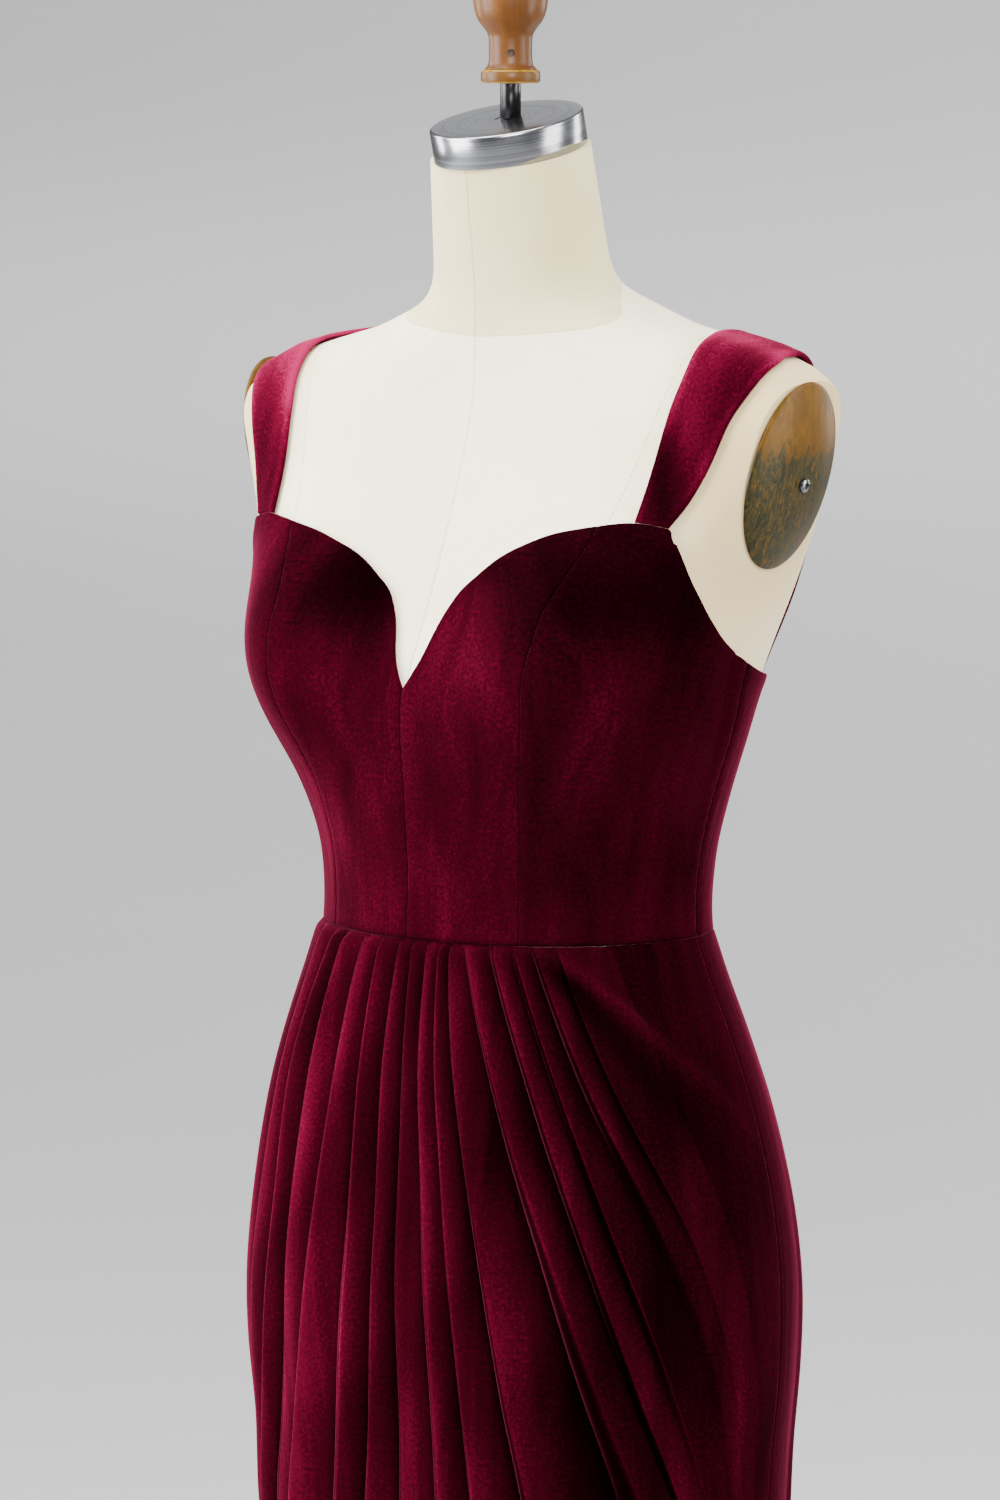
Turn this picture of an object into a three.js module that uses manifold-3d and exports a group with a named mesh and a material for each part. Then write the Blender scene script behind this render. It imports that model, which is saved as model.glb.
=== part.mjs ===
// A floor-length mermaid dress in velvet, worn by a limbless dress form on its stand.
// Millimetres, +Z up. The origin is the centre of the stand's underside, the front faces -Y
// and the wearer's left is +X. Heights in the tables are measured from the waist seam, and
// angles go round from the centre front (0) over the wearer's left (90) to the back (180).
import * as THREE from "three";
import Module from "manifold-3d";
import { mergeVertices } from "three/addons/utils/BufferGeometryUtils.js";

const WAIST = 1060; // the waist seam above the floor
const DEGREES = Math.PI / 180;
const HALF_TURN = 180;

// Cloth
const WALL = 1.8; // velvet with its backing
const BODICE_RADIUS = 105; // about its distance from the axis
const EASE = 1.4; // from the form's cover to the inside of the bodice
const SEAM_GAP = 0.34; // between neighbouring pieces
const HEM = -1045; // the hem, 15 mm above the floor
const TOP_TILT = 4.2; // the top edge's rise at the wearer's left side, and its drop at the right
const RAY_REACH = 460; // past the farthest cloth
const HALVINGS = 34; // of an interval, when a ray or an edge is looked for

// The dress form's body. Half widths, depths before and behind the axis, the section's middle
// and its squareness, before and behind
const BODY = [
  { z: -300, half: 150, front: 84, back: 104, mid: 8, squareFront: 2.2, squareBack: 2.2 },
  { z: -260, half: 160, front: 92, back: 118, mid: 8, squareFront: 2.2, squareBack: 2.2 },
  { z: -205, half: 166, front: 98, back: 125.5, mid: 8, squareFront: 2.2, squareBack: 2.2 },
  { z: -150, half: 161, front: 100, back: 122, mid: 6, squareFront: 2.2, squareBack: 2.2 },
  { z: -100, half: 149, front: 100, back: 116, mid: 4, squareFront: 2.2, squareBack: 2.2 },
  { z: -50, half: 133, front: 98, back: 103, mid: 2, squareFront: 2.2, squareBack: 2.2 },
  { z: 0, half: 119, front: 97, back: 89, mid: 0, squareFront: 2.03, squareBack: 2.03 },
  { z: 40, half: 121, front: 96, back: 89, mid: 0, squareFront: 2.05, squareBack: 2.05 },
  { z: 80, half: 131.5, front: 98.5, back: 87, mid: 0, squareFront: 2.15, squareBack: 2.15 },
  { z: 120, half: 145.5, front: 97, back: 87, mid: 0, squareFront: 2.4, squareBack: 2.3 },
  { z: 160, half: 154, front: 88, back: 98, mid: 2, squareFront: 2.75, squareBack: 2.5 },
  { z: 200, half: 166, front: 75, back: 105, mid: 6, squareFront: 3.0, squareBack: 2.75 },
  { z: 240, half: 186, front: 61, back: 104, mid: 9, squareFront: 3.1, squareBack: 2.55 },
  { z: 270, half: 204, front: 51, back: 97, mid: 12, squareFront: 3.0, squareBack: 2.1 },
  { z: 300, half: 220, front: 43, back: 91, mid: 14, squareFront: 3.0, squareBack: 1.95 },
  { z: 340, half: 226, front: 38, back: 87, mid: 16, squareFront: 2.6, squareBack: 1.9 },
  { z: 400, half: 226, front: 38, back: 87, mid: 16, squareFront: 2.6, squareBack: 1.9 },
];

// The bust: how far it stands out, where, and how it fades sideways, up and down
const BUST = { side: 106, z: 158, out: 31, wide: 66, up: 70, down: 56 };
const CLEFT = { out: 6, z: 140, wide: 50, tall: 34 }; // the cover bridges the centre front

// The top of the shoulders, by distance from the middle
const SHOULDER = [
  { side: 0, z: 380 },
  { side: 50, z: 366 },
  { side: 70, z: 358 },
  { side: 100, z: 346 },
  { side: 131, z: 339 },
  { side: 160, z: 332 },
  { side: 189, z: 322 },
  { side: 205, z: 314 },
  { side: 235, z: 294 },
];
const SHOULDER_LINE_Y = 15; // the shoulder line lies behind the axis
const SHOULDER_ROUND = { wide: 21, most: 110, steep: 0.6, blend: 14, tiltSide: 150 };
const NECK = { z: 330, y: 9, half: 60, deep: 44, tall: 115, lean: 17, taper: 10, taperDeep: 3 };
const NECK_ROOT = 300; // the neck's cone starts inside the shoulders
const NECK_BLEND = 12;
const NECK_TOP = { y: -8, z: 445, tilt: 13.5 * DEGREES };
const FORM_BOTTOM = -260;
const FORM_COLUMNS = { front: 24, back: 20, angle: 66 }; // closer in front, where the bust is

// The middle of the sections' rays, by height
const AXIS = [
  { z: -1045, y: 0 },
  { z: 0, y: 0 },
  { z: 240, y: 8 },
  { z: 300, y: 16 },
  { z: 330, y: 12 },
  { z: 445, y: -8 },
  { z: 470, y: -11 },
];

// The flats where arms would start, and the oval plates on them
const ARM = { x: 186.5, y: 11, z: 267, tilt: 15 * DEGREES, cut: 170 };
const PLATE = { wide: 74, tall: 110, rim: 1.8, dome: 6.4, crown: 2.6 };
const PLATE_RINGS = [1, 0.94, 0.85, 0.72, 0.54, 0.3]; // shares of the way out, for the dome
const PLATE_SCREW = { up: -7, back: 6, radius: 4, thick: 1.8 };

// Neck hardware
const CAP = { radius: 44.5, tall: 19, bevel: 1.2 };
const ROD = { radius: 6, top: 483.5 };
const FINIAL = { y: -8.5, neck: 12.6, hole: 2.3, holeDepth: 7, holeUp: 17, holeTurn: 41 * DEGREES };
// The turned finial's outline: radius at each height above its foot
const FINIAL_OUTLINE = [
  { up: 0, radius: 15.5 },
  { up: 1.2, radius: 17 },
  { up: 6.4, radius: 17 },
  { up: 8, radius: 15.2 },
  { up: 9.6, radius: 13.2 },
  { up: 13, radius: 12.5 },
  { up: 26, radius: 12.6 },
  { up: 30, radius: 14.4 },
  { up: 35, radius: 18.2 },
  { up: 42, radius: 20.8 },
  { up: 50, radius: 21.6 },
  { up: 60, radius: 20.6 },
  { up: 68, radius: 17.8 },
  { up: 75, radius: 13 },
  { up: 79, radius: 7.5 },
  { up: 80.5, radius: 2.5 },
];

// Stand
const BASE = { radius: 195, edge: 12, tall: 26, boss: 30, bossTop: 44 };
const POLE = { radius: 14 };
const POLE_FOOT = BASE.bossTop + SEAM_GAP;
const COLLAR = { radius: 52, neck: 22, flange: 6, tall: 38 };
const COLLAR_FOOT = WAIST + FORM_BOTTOM - SEAM_GAP - COLLAR.tall;

// The neckline and armhole edge, by angle, before the tilt
const TOP_EDGE = [
  { angle: 0, z: 142 },
  { angle: 2.5, z: 149 },
  { angle: 6, z: 161 },
  { angle: 9.5, z: 177 },
  { angle: 15, z: 193 },
  { angle: 23.5, z: 206 },
  { angle: 32, z: 216.5 },
  { angle: 40.5, z: 224 },
  { angle: 47.5, z: 229.5 },
  { angle: 54, z: 233 },
  { angle: 59, z: 235.5 },
  { angle: 63.5, z: 237 },
  { angle: 68.6, z: 234.5 },
  { angle: 69.5, z: 227 },
  { angle: 71.5, z: 211 },
  { angle: 75, z: 194 },
  { angle: 80.5, z: 177 },
  { angle: 88, z: 163 },
  { angle: 93.5, z: 155.5 },
  { angle: 100, z: 149.5 },
  { angle: 110, z: 145.5 },
  { angle: 125, z: 144 },
  { angle: 180, z: 143 },
];

// Seams of the bodice, by height
const PRINCESS_SEAM = [
  { z: -10, angle: 40 },
  { z: 60, angle: 39.6 },
  { z: 120, angle: 39.4 },
  { z: 160, angle: 40 },
  { z: 178, angle: 42 },
  { z: 190, angle: 43.8 },
  { z: 204, angle: 47.4 },
  { z: 218, angle: 51.6 },
  { z: 230, angle: 55.2 },
  { z: 240, angle: 57.6 },
];
const SIDE_SEAM = [
  { z: -1045, angle: 95 },
  { z: -600, angle: 97 },
  { z: -300, angle: 99 },
  { z: -205, angle: 100.5 },
  { z: -100, angle: 100.5 },
  { z: -50, angle: 99.2 },
  { z: 0, angle: 96.2 },
  { z: 35, angle: 94.7 },
  { z: 96, angle: 92.6 },
  { z: 160, angle: 92.6 },
];

// A strap's edges, from its front end over the shoulder to its back end. The rays that find its
// stations start at the core's height, inside the body
const STRAP = [
  { along: 0, inner: 129, outer: 149.5, core: 200 },
  { along: 0.06, inner: 129, outer: 157, core: 218 },
  { along: 0.12, inner: 129, outer: 164, core: 235 },
  { along: 0.2, inner: 130, outer: 172, core: 255 },
  { along: 0.3, inner: 131, outer: 179, core: 275 },
  { along: 0.4, inner: 131, outer: 184, core: 286 },
  { along: 0.5, inner: 131, outer: 185, core: 290 },
  { along: 0.6, inner: 130, outer: 182, core: 286 },
  { along: 0.7, inner: 128, outer: 174, core: 270 },
  { along: 0.8, inner: 123, outer: 160, core: 230 },
  { along: 0.9, inner: 110, outer: 141, core: 190 },
  { along: 1, inner: 92, outer: 122, core: 150 },
];
const STRAP_CORE_Y = 20;
const STRAP_EASE = 1.8;
const STRAP_REST = 1.1; // a strap's ends stand this far off the top edge

// The skirt's sections where no fold rises
const SKIRT = [
  { z: -1045, half: 352, front: 322, back: 338, mid: 4, square: 2.0 },
  { z: -1000, half: 330, front: 300, back: 315, mid: 4, square: 2.0 },
  { z: -900, half: 276, front: 244, back: 256, mid: 4, square: 2.0 },
  { z: -800, half: 224, front: 190, back: 198, mid: 4, square: 2.0 },
  { z: -700, half: 182, front: 144, back: 148, mid: 4, square: 2.05 },
  { z: -600, half: 154, front: 114, back: 116, mid: 4, square: 2.1 },
  { z: -540, half: 149, front: 109, back: 110, mid: 4, square: 2.1 },
  { z: -430, half: 158, front: 113, back: 120, mid: 5, square: 2.15 },
  { z: -340, half: 165.5, front: 117, back: 123, mid: 5, square: 2.2 },
  { z: -300, half: 167.5, front: 118, back: 124.5, mid: 6, square: 2.2 },
  { z: -250, half: 171, front: 120, back: 129, mid: 6, square: 2.2 },
  { z: -205, half: 171, front: 120, back: 131.5, mid: 6, square: 2.2 },
  { z: -150, half: 165, front: 117, back: 128.5, mid: 5, square: 2.2 },
  { z: -100, half: 154, front: 112.5, back: 121, mid: 3, square: 2.16 },
  { z: -60, half: 141.5, front: 109, back: 110, mid: 2, square: 2.12 },
  { z: -25, half: 129.5, front: 105, back: 99, mid: 1, square: 2.08 },
  { z: 0, half: 122.2, front: 100.4, back: 92.2, mid: 0, square: 2.04 },
];

// Where a fold's angle and height are given below
const FOLD_HEIGHTS = [0, -80, -165, -250, -330, -600, -1045];

// The front's folds from the wearer's right to left: the crest's angle at each height, then
// how far it stands out there
const FRONT_FOLDS = [
  { path: [-88, -89, -90, -90, -90, -88, -86], rise: [1.4, 2.4, 3, 3, 3, 3, 30] },
  { path: [-75, -76, -77, -78, -79, -78, -73], rise: [2.4, 4, 5, 5, 4, 3, 8] },
  { path: [-62, -62, -62, -64, -67, -67, -60], rise: [2.6, 5, 6, 6, 5, 3, 34] },
  { path: [-49.5, -48.5, -49, -52, -56, -56, -47], rise: [2.8, 6, 7, 7, 6, 3, 8] },
  { path: [-34.5, -35.5, -37, -40.5, -45, -45, -34], rise: [2.6, 5, 6, 6, 5, 3, 34] },
  { path: [-23, -23.4, -24.2, -28, -33, -33, -21], rise: [2.6, 5, 6, 6, 5, 3, 8] },
  { path: [-13, -12.2, -11.6, -13.6, -17, -19, -8], rise: [2.6, 5, 7, 7, 6, 3, 36] },
  { path: [-3.2, -3.6, -4, -4.6, -5.6, -6, 5], rise: [2.4, 4, 4, 4, 4, 3, 8] },
  { path: [8.5, 11.4, 14.3, 15.8, 17, 10, 18], rise: [3, 7, 9, 9, 9, 4, 36] },
  { path: [16.1, 22.6, 29.4, 34.8, 40.5, 30, 31], rise: [2.6, 6, 8, 9, 9, 4, 9] },
  { path: [23.4, 33, 43.4, 54, 63.5, 49, 45], rise: [2.6, 7, 9, 10, 10, 5, 34] },
  { path: [32.2, 41.6, 52, 62.5, 73, 64, 58], rise: [2.6, 5, 6, 6, 5, 3, 9] },
  { path: [40.8, 49.6, 59.5, 70.5, 81, 78, 72], rise: [2.6, 4, 5, 5, 4, 3, 34] },
  { path: [58, 66, 74, 82, 89, 88, 85], rise: [0, 0, 0, 0.5, 1, 2, 9] },
];
// The draped folds that sweep from the waist to the wearer's left hip, by height
const SWEEP_FOLDS = [
  {
    rise: 7,
    wide: 9,
    path: [
      { z: 0, angle: 44.2, strength: 0.45 },
      { z: -13, angle: 53.2, strength: 0.9 },
      { z: -30, angle: 61.7, strength: 1 },
      { z: -44, angle: 69.1, strength: 0.9 },
      { z: -59, angle: 76.4, strength: 0.7 },
      { z: -75, angle: 84, strength: 0.45 },
      { z: -98, angle: 94.6, strength: 0 },
    ],
  },
  {
    rise: 6.5,
    wide: 10,
    path: [
      { z: 0, angle: 42.6, strength: 0.3 },
      { z: -22, angle: 50, strength: 0.9 },
      { z: -41, angle: 55.4, strength: 1 },
      { z: -62, angle: 60.3, strength: 0.9 },
      { z: -96, angle: 67.7, strength: 0.6 },
      { z: -129, angle: 74.8, strength: 0 },
    ],
  },
];
const BACK_FLUTES = [
  { path: [112, 113, 114, 114, 113, 112, 109], rise: [0, 0, 1, 1.5, 2, 3, 34] },
  { path: [131, 131, 132, 132, 132, 131, 128], rise: [0, 0, 1, 1.5, 2, 3, 10] },
  { path: [149, 149, 149, 149, 149, 149, 147], rise: [0, 0, 1, 1.5, 2, 3, 36] },
  { path: [166, 166, 166, 166, 166, 166, 165], rise: [0, 0, 1, 1.5, 2, 3, 10] },
];
// Where the valley lies between two crests, and how narrow the crests are: the folds lean and
// are narrow above the knee, and open into even flutes at the hem
const FOLD_SHAPE = [
  { z: -1045, valley: 0.5, sharp: 1 },
  { z: -640, valley: 0.56, sharp: 1.1 },
  { z: -340, valley: 0.66, sharp: 1.3 },
  { z: 0, valley: 0.66, sharp: 1.3 },
];
const SKIRT_ROWS = [
  -0.2, -10, -22, -36, -52, -72, -96, -124, -156, -192, -235, -285, -340, -410, -490, -570, -640,
  -710, -790, -870, -955, -1045,
];
const FOLD_STEPS = 3; // columns from one crest to the next
const SMOOTH_STEPS = 7; // columns where the front lies smooth

// Zip slider at the centre back
const SLIDER = { z: 131, wide: 5, tall: 14, thick: 1.6, lift: 0.2 };

// Colours
const VELVET = new THREE.MeshStandardMaterial({ color: 0x5a0a22, roughness: 0.9, metalness: 0 });
const COVER = new THREE.MeshStandardMaterial({ color: 0xe9e4d4, roughness: 0.85, metalness: 0 });
const STEEL = new THREE.MeshStandardMaterial({ color: 0xb9bbbd, roughness: 0.3, metalness: 1 });
const BLACK = new THREE.MeshStandardMaterial({ color: 0x17181a, roughness: 0.45, metalness: 0.3 });
const WOOD = new THREE.MeshStandardMaterial({ color: 0x8a5a26, roughness: 0.45, metalness: 0 });
const BRASS = new THREE.MeshStandardMaterial({ color: 0x8f7440, roughness: 0.4, metalness: 0.9 });

// A smooth curve through the table's rows: cubic pieces with three-point slopes
function smoothCurve(table, key, column) {
  const rows = [...table].sort((a, b) => a[key] - b[key]);
  const at = rows.map((row) => row[key]);
  const value = rows.map((row) => row[column]);
  const last = at.length - 1;
  const rise = (i) => (value[i + 1] - value[i]) / (at[i + 1] - at[i]);
  const slope = at.map((here, i) => {
    if (i === 0) return rise(0);
    if (i === last) return rise(last - 1);
    const before = here - at[i - 1];
    const after = at[i + 1] - here;
    return (rise(i) * before + rise(i - 1) * after) / (before + after);
  });
  return (x) => {
    let i = 0;
    while (i < last - 1 && x > at[i + 1]) i += 1;
    const span = at[i + 1] - at[i];
    const s = Math.min(Math.max((x - at[i]) / span, 0), 1);
    const ends = (2 * s ** 3 - 3 * s ** 2 + 1) * value[i] + (3 * s ** 2 - 2 * s ** 3) * value[i + 1];
    const bends = (s ** 3 - 2 * s ** 2 + s) * slope[i] + (s ** 3 - s ** 2) * slope[i + 1];
    return ends + bends * span;
  };
}

// A broken line through the table's rows
function straightCurve(table, key, column) {
  const rows = [...table].sort((a, b) => a[key] - b[key]);
  return (x) => {
    let i = 0;
    while (i < rows.length - 2 && x > rows[i + 1][key]) i += 1;
    const span = rows[i + 1][key] - rows[i][key];
    const s = Math.min(Math.max((x - rows[i][key]) / span, 0), 1);
    return rows[i][column] + s * (rows[i + 1][column] - rows[i][column]);
  };
}

const mix = (a, b, s) => a + (b - a) * s;
const bell = (distance) => Math.exp(-(distance ** 2));

function smoothMin(a, b, blend) {
  const share = Math.min(Math.max(0.5 + (0.5 * (b - a)) / blend, 0), 1);
  return b * (1 - share) + a * share - blend * share * (1 - share);
}

const smoothMax = (a, b, blend) => -smoothMin(-a, -b, blend);

// The form's surface is where this is zero; inside it is negative
const bodyCurve = Object.fromEntries(
  ["half", "front", "back", "mid", "squareFront", "squareBack"].map((column) => [
    column,
    smoothCurve(BODY, "z", column),
  ]),
);
const shoulderTop = straightCurve(SHOULDER, "side", "z");
const axisY = straightCurve(AXIS, "z", "y");

function torsoLevel(x, y, z) {
  const side = Math.abs(x);
  const half = bodyCurve.half(z);
  const mid = bodyCurve.mid(z);
  const fade = z > BUST.z ? BUST.up : BUST.down;
  const bust = BUST.out * bell((side - BUST.side) / BUST.wide) * bell((z - BUST.z) / fade);
  const cleft = CLEFT.out * bell(side / CLEFT.wide) * bell((z - CLEFT.z) / CLEFT.tall);
  const set = y < mid ? y + bust + cleft : y;
  const isFront = set < mid;
  const square = isFront ? bodyCurve.squareFront(z) : bodyCurve.squareBack(z);
  const deep = isFront ? bodyCurve.front(z) + mid : bodyCurve.back(z) - mid;
  const ratio = (side / half) ** square + (Math.abs(set - mid) / deep) ** square;
  return (ratio ** (1 / square) - 1) * Math.min(half, deep);
}

function bodyLevel(x, y, z) {
  const behind = y - SHOULDER_LINE_Y;
  const { wide, most, steep, blend, tiltSide } = SHOULDER_ROUND;
  const fall = (behind / wide) ** 4;
  const drop = fall / (1 + fall / most);
  const tilt = (TOP_TILT * x) / tiltSide;
  const shoulders = (z - shoulderTop(Math.abs(x)) - tilt + drop) * steep;
  const torso = smoothMax(torsoLevel(x, y, z), shoulders, blend);
  const up = (z - NECK.z) / NECK.tall;
  const taper = Math.max(up, 0);
  const neckHalf = NECK.half - NECK.taper * taper;
  const neckDeep = NECK.deep - NECK.taperDeep * taper;
  const neckRatio = Math.hypot(x / neckHalf, (y - NECK.y + NECK.lean * up) / neckDeep);
  const neck = Math.max((neckRatio - 1) * neckDeep, NECK_ROOT - z);
  return smoothMin(torso, neck, NECK_BLEND);
}

const skirtCurve = Object.fromEntries(
  ["half", "front", "back", "mid", "square"].map((column) => [
    column,
    smoothCurve(SKIRT, "z", column),
  ]),
);

function skirtLevel(x, y, z) {
  const half = skirtCurve.half(z);
  const mid = skirtCurve.mid(z);
  const square = skirtCurve.square(z);
  const deep = y < mid ? skirtCurve.front(z) + mid : skirtCurve.back(z) - mid;
  const ratio = (Math.abs(x) / half) ** square + (Math.abs(y - mid) / deep) ** square;
  return (ratio ** (1 / square) - 1) * Math.min(half, deep);
}

// Halve an interval down to the place where the test turns from true to false
function halve(from, to, isBefore) {
  let near = from;
  let far = to;
  for (let step = 0; step < HALVINGS; step += 1) {
    const here = (near + far) / 2;
    if (isBefore(here)) near = here;
    else far = here;
  }
  return (near + far) / 2;
}

// Where a ray leaves the surface
function castRay(level, from, direction) {
  const at = (distance) => from.clone().addScaledVector(direction, distance);
  const isInside = (distance) => {
    const point = at(distance);
    return level(point.x, point.y, point.z) < 0;
  };
  return at(halve(0, RAY_REACH, isInside));
}

// The point of a surface at an angle round the axis and a height
function surfacePoint(level, angle, z) {
  const turn = angle * DEGREES;
  const direction = new THREE.Vector3(Math.sin(turn), -Math.cos(turn), 0);
  return castRay(level, new THREE.Vector3(0, axisY(z), z), direction);
}

function outwardNormal(level, p) {
  const reach = 0.6; // half the step between the compared points
  return new THREE.Vector3(
    level(p.x + reach, p.y, p.z) - level(p.x - reach, p.y, p.z),
    level(p.x, p.y + reach, p.z) - level(p.x, p.y - reach, p.z),
    level(p.x, p.y, p.z + reach) - level(p.x, p.y, p.z - reach),
  ).normalize();
}

// A geometry from points and triangles, moved from the waist's heights to the floor's
function solidFrom(points, faces) {
  const geometry = new THREE.BufferGeometry();
  const flat = points.flatMap((p) => [p.x, p.y, p.z + WAIST]);
  geometry.setAttribute("position", new THREE.Float32BufferAttribute(flat, 3));
  geometry.setIndex(faces);
  geometry.computeVertexNormals();
  return geometry;
}

// A wall between two grids of points: outer[row][column] and inner[row][column]. Columns go
// round with the angle and rows go up
function wallSolid(outer, inner) {
  const rows = outer.length;
  const columns = outer[0].length;
  const points = [...outer.flat(), ...inner.flat()];
  const faces = [];
  const out = (row, column) => row * columns + column;
  const into = (row, column) => rows * columns + out(row, column);
  const quad = (a, b, c, d) => faces.push(a, b, c, a, c, d);
  for (let r = 0; r < rows - 1; r += 1) {
    for (let c = 0; c < columns - 1; c += 1) {
      quad(out(r, c), out(r, c + 1), out(r + 1, c + 1), out(r + 1, c));
      quad(into(r, c), into(r + 1, c), into(r + 1, c + 1), into(r, c + 1));
    }
  }
  for (let c = 0; c < columns - 1; c += 1) {
    quad(out(0, c), into(0, c), into(0, c + 1), out(0, c + 1));
    quad(out(rows - 1, c), out(rows - 1, c + 1), into(rows - 1, c + 1), into(rows - 1, c));
  }
  for (let r = 0; r < rows - 1; r += 1) {
    quad(out(r, 0), out(r + 1, 0), into(r + 1, 0), into(r, 0));
    quad(out(r, columns - 1), into(r, columns - 1), into(r + 1, columns - 1), out(r + 1, columns - 1));
  }
  return solidFrom(points, faces);
}

// A closed mesh as a manifold solid, and back
function toManifold(wasm, geometry) {
  const bare = geometry.clone();
  bare.deleteAttribute("normal");
  bare.deleteAttribute("uv");
  const merged = mergeVertices(bare, 1e-4);
  return new wasm.Manifold(
    new wasm.Mesh({
      numProp: 3,
      vertProperties: new Float32Array(merged.attributes.position.array),
      triVerts: new Uint32Array(merged.index.array),
    }),
  );
}

function fromManifold(solid) {
  const mesh = solid.getMesh();
  const geometry = new THREE.BufferGeometry();
  geometry.setAttribute("position", new THREE.BufferAttribute(mesh.vertProperties, 3));
  geometry.setIndex(new THREE.BufferAttribute(mesh.triVerts, 1));
  geometry.computeVertexNormals();
  return geometry;
}

// Turn a piece that lies on its XY plane so that its +Z leaves the arm's flat
function placeOnArm(geometry, side, back, up) {
  const outward = new THREE.Vector3(Math.cos(ARM.tilt), 0, -Math.sin(ARM.tilt));
  const upward = new THREE.Vector3(Math.sin(ARM.tilt), 0, Math.cos(ARM.tilt));
  const backward = new THREE.Vector3(0, 1, 0);
  const centre = new THREE.Vector3(ARM.x, ARM.y, ARM.z + WAIST);
  centre.addScaledVector(backward, side * back).addScaledVector(upward, up);
  geometry.applyMatrix4(new THREE.Matrix4().makeBasis(backward, upward, outward));
  geometry.translate(centre.x, centre.y, centre.z);
  if (side < 0) geometry.rotateZ(Math.PI).translate(0, 2 * ARM.y, 0);
  return geometry;
}

// The height of a plane square to the neck's axis, at some distance above the neck's top
function neckPlane(y, above) {
  const z = NECK_TOP.z + (y - NECK_TOP.y) * Math.tan(NECK_TOP.tilt);
  return z + above / Math.cos(NECK_TOP.tilt);
}

// The form's body: rings from the flat underside up to the neck's tilted top
function formBody(wasm) {
  const { front, back, angle: edge } = FORM_COLUMNS;
  const angles = [];
  for (let i = 0; i < front; i += 1) angles.push(mix(-edge, edge, i / front));
  for (let i = 0; i < back; i += 1) angles.push(mix(edge, 2 * HALF_TURN - edge, i / back));
  const turns = angles.length;
  const heights = [
    -260, -215, -170, -125, -85, -50, -25, -8, 8, 25, 48, 75, 100, 120, 138, 155, 172, 190, 210,
    230, 250, 266, 280, 292, 302, 310, 317, 323, 328, 333, 338, 343, 349, 356, 366, 382, 410,
  ];
  const rings = heights.map((z) => angles.map((angle) => surfacePoint(bodyLevel, angle, z)));
  const top = angles.map((angle) => {
    let point = surfacePoint(bodyLevel, angle, NECK_TOP.z);
    for (let pass = 0; pass < 6; pass += 1) {
      point = surfacePoint(bodyLevel, angle, neckPlane(point.y, 0));
    }
    return point;
  });
  rings.push(top);
  const points = rings.flat();
  const foot = points.push(new THREE.Vector3(0, 0, FORM_BOTTOM)) - 1;
  const crown = points.push(new THREE.Vector3(0, NECK_TOP.y, NECK_TOP.z)) - 1;
  const faces = [];
  for (let r = 0; r < rings.length - 1; r += 1) {
    for (let i = 0; i < turns; i += 1) {
      const next = (i + 1) % turns;
      const [a, b] = [r * turns + i, r * turns + next];
      faces.push(a, b, b + turns, a, b + turns, a + turns);
    }
  }
  const lastRing = (rings.length - 1) * turns;
  for (let i = 0; i < turns; i += 1) {
    const next = (i + 1) % turns;
    faces.push(foot, next, i);
    faces.push(crown, lastRing + i, lastRing + next);
  }
  let body = toManifold(wasm, solidFrom(points, faces));
  for (const side of [1, -1]) {
    const block = new THREE.BoxGeometry(ARM.cut, ARM.cut, ARM.cut).translate(0, 0, ARM.cut / 2);
    body = body.subtract(toManifold(wasm, placeOnArm(block, side, 0, 0)));
  }
  return fromManifold(body);
}

// Bodice
const topEdgeUntilted = straightCurve(TOP_EDGE, "angle", "z");
const princessAngle = smoothCurve(PRINCESS_SEAM, "z", "angle");
const sideAngle = smoothCurve(SIDE_SEAM, "z", "angle");

function topEdge(angle) {
  const turn = Math.abs(angle);
  return topEdgeUntilted(turn) + TOP_TILT * Math.sin(angle * DEGREES);
}

// One bodice panel between two seams, given as angles by height. The shares place its columns
function bodicePanel(fromSeam, toSeam, shares, rows) {
  const outer = [];
  const inner = [];
  const shift = SEAM_GAP / 2 / BODICE_RADIUS / DEGREES;
  const angleAt = (share, z) => mix(fromSeam(z) + shift, toSeam(z) - shift, share);
  const tops = shares.map((share) => halve(60, 260, (z) => z < topEdge(angleAt(share, z))));
  rows.forEach((up, r) => {
    outer.push([]);
    inner.push([]);
    shares.forEach((share, c) => {
      const z = mix(SEAM_GAP / 2, tops[c], up);
      const point = surfacePoint(bodyLevel, angleAt(share, z), z);
      const normal = outwardNormal(bodyLevel, point);
      outer[r].push(point.clone().addScaledVector(normal, EASE + WALL));
      inner[r].push(point.clone().addScaledVector(normal, EASE));
    });
  });
  return wallSolid(outer, inner);
}

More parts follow.
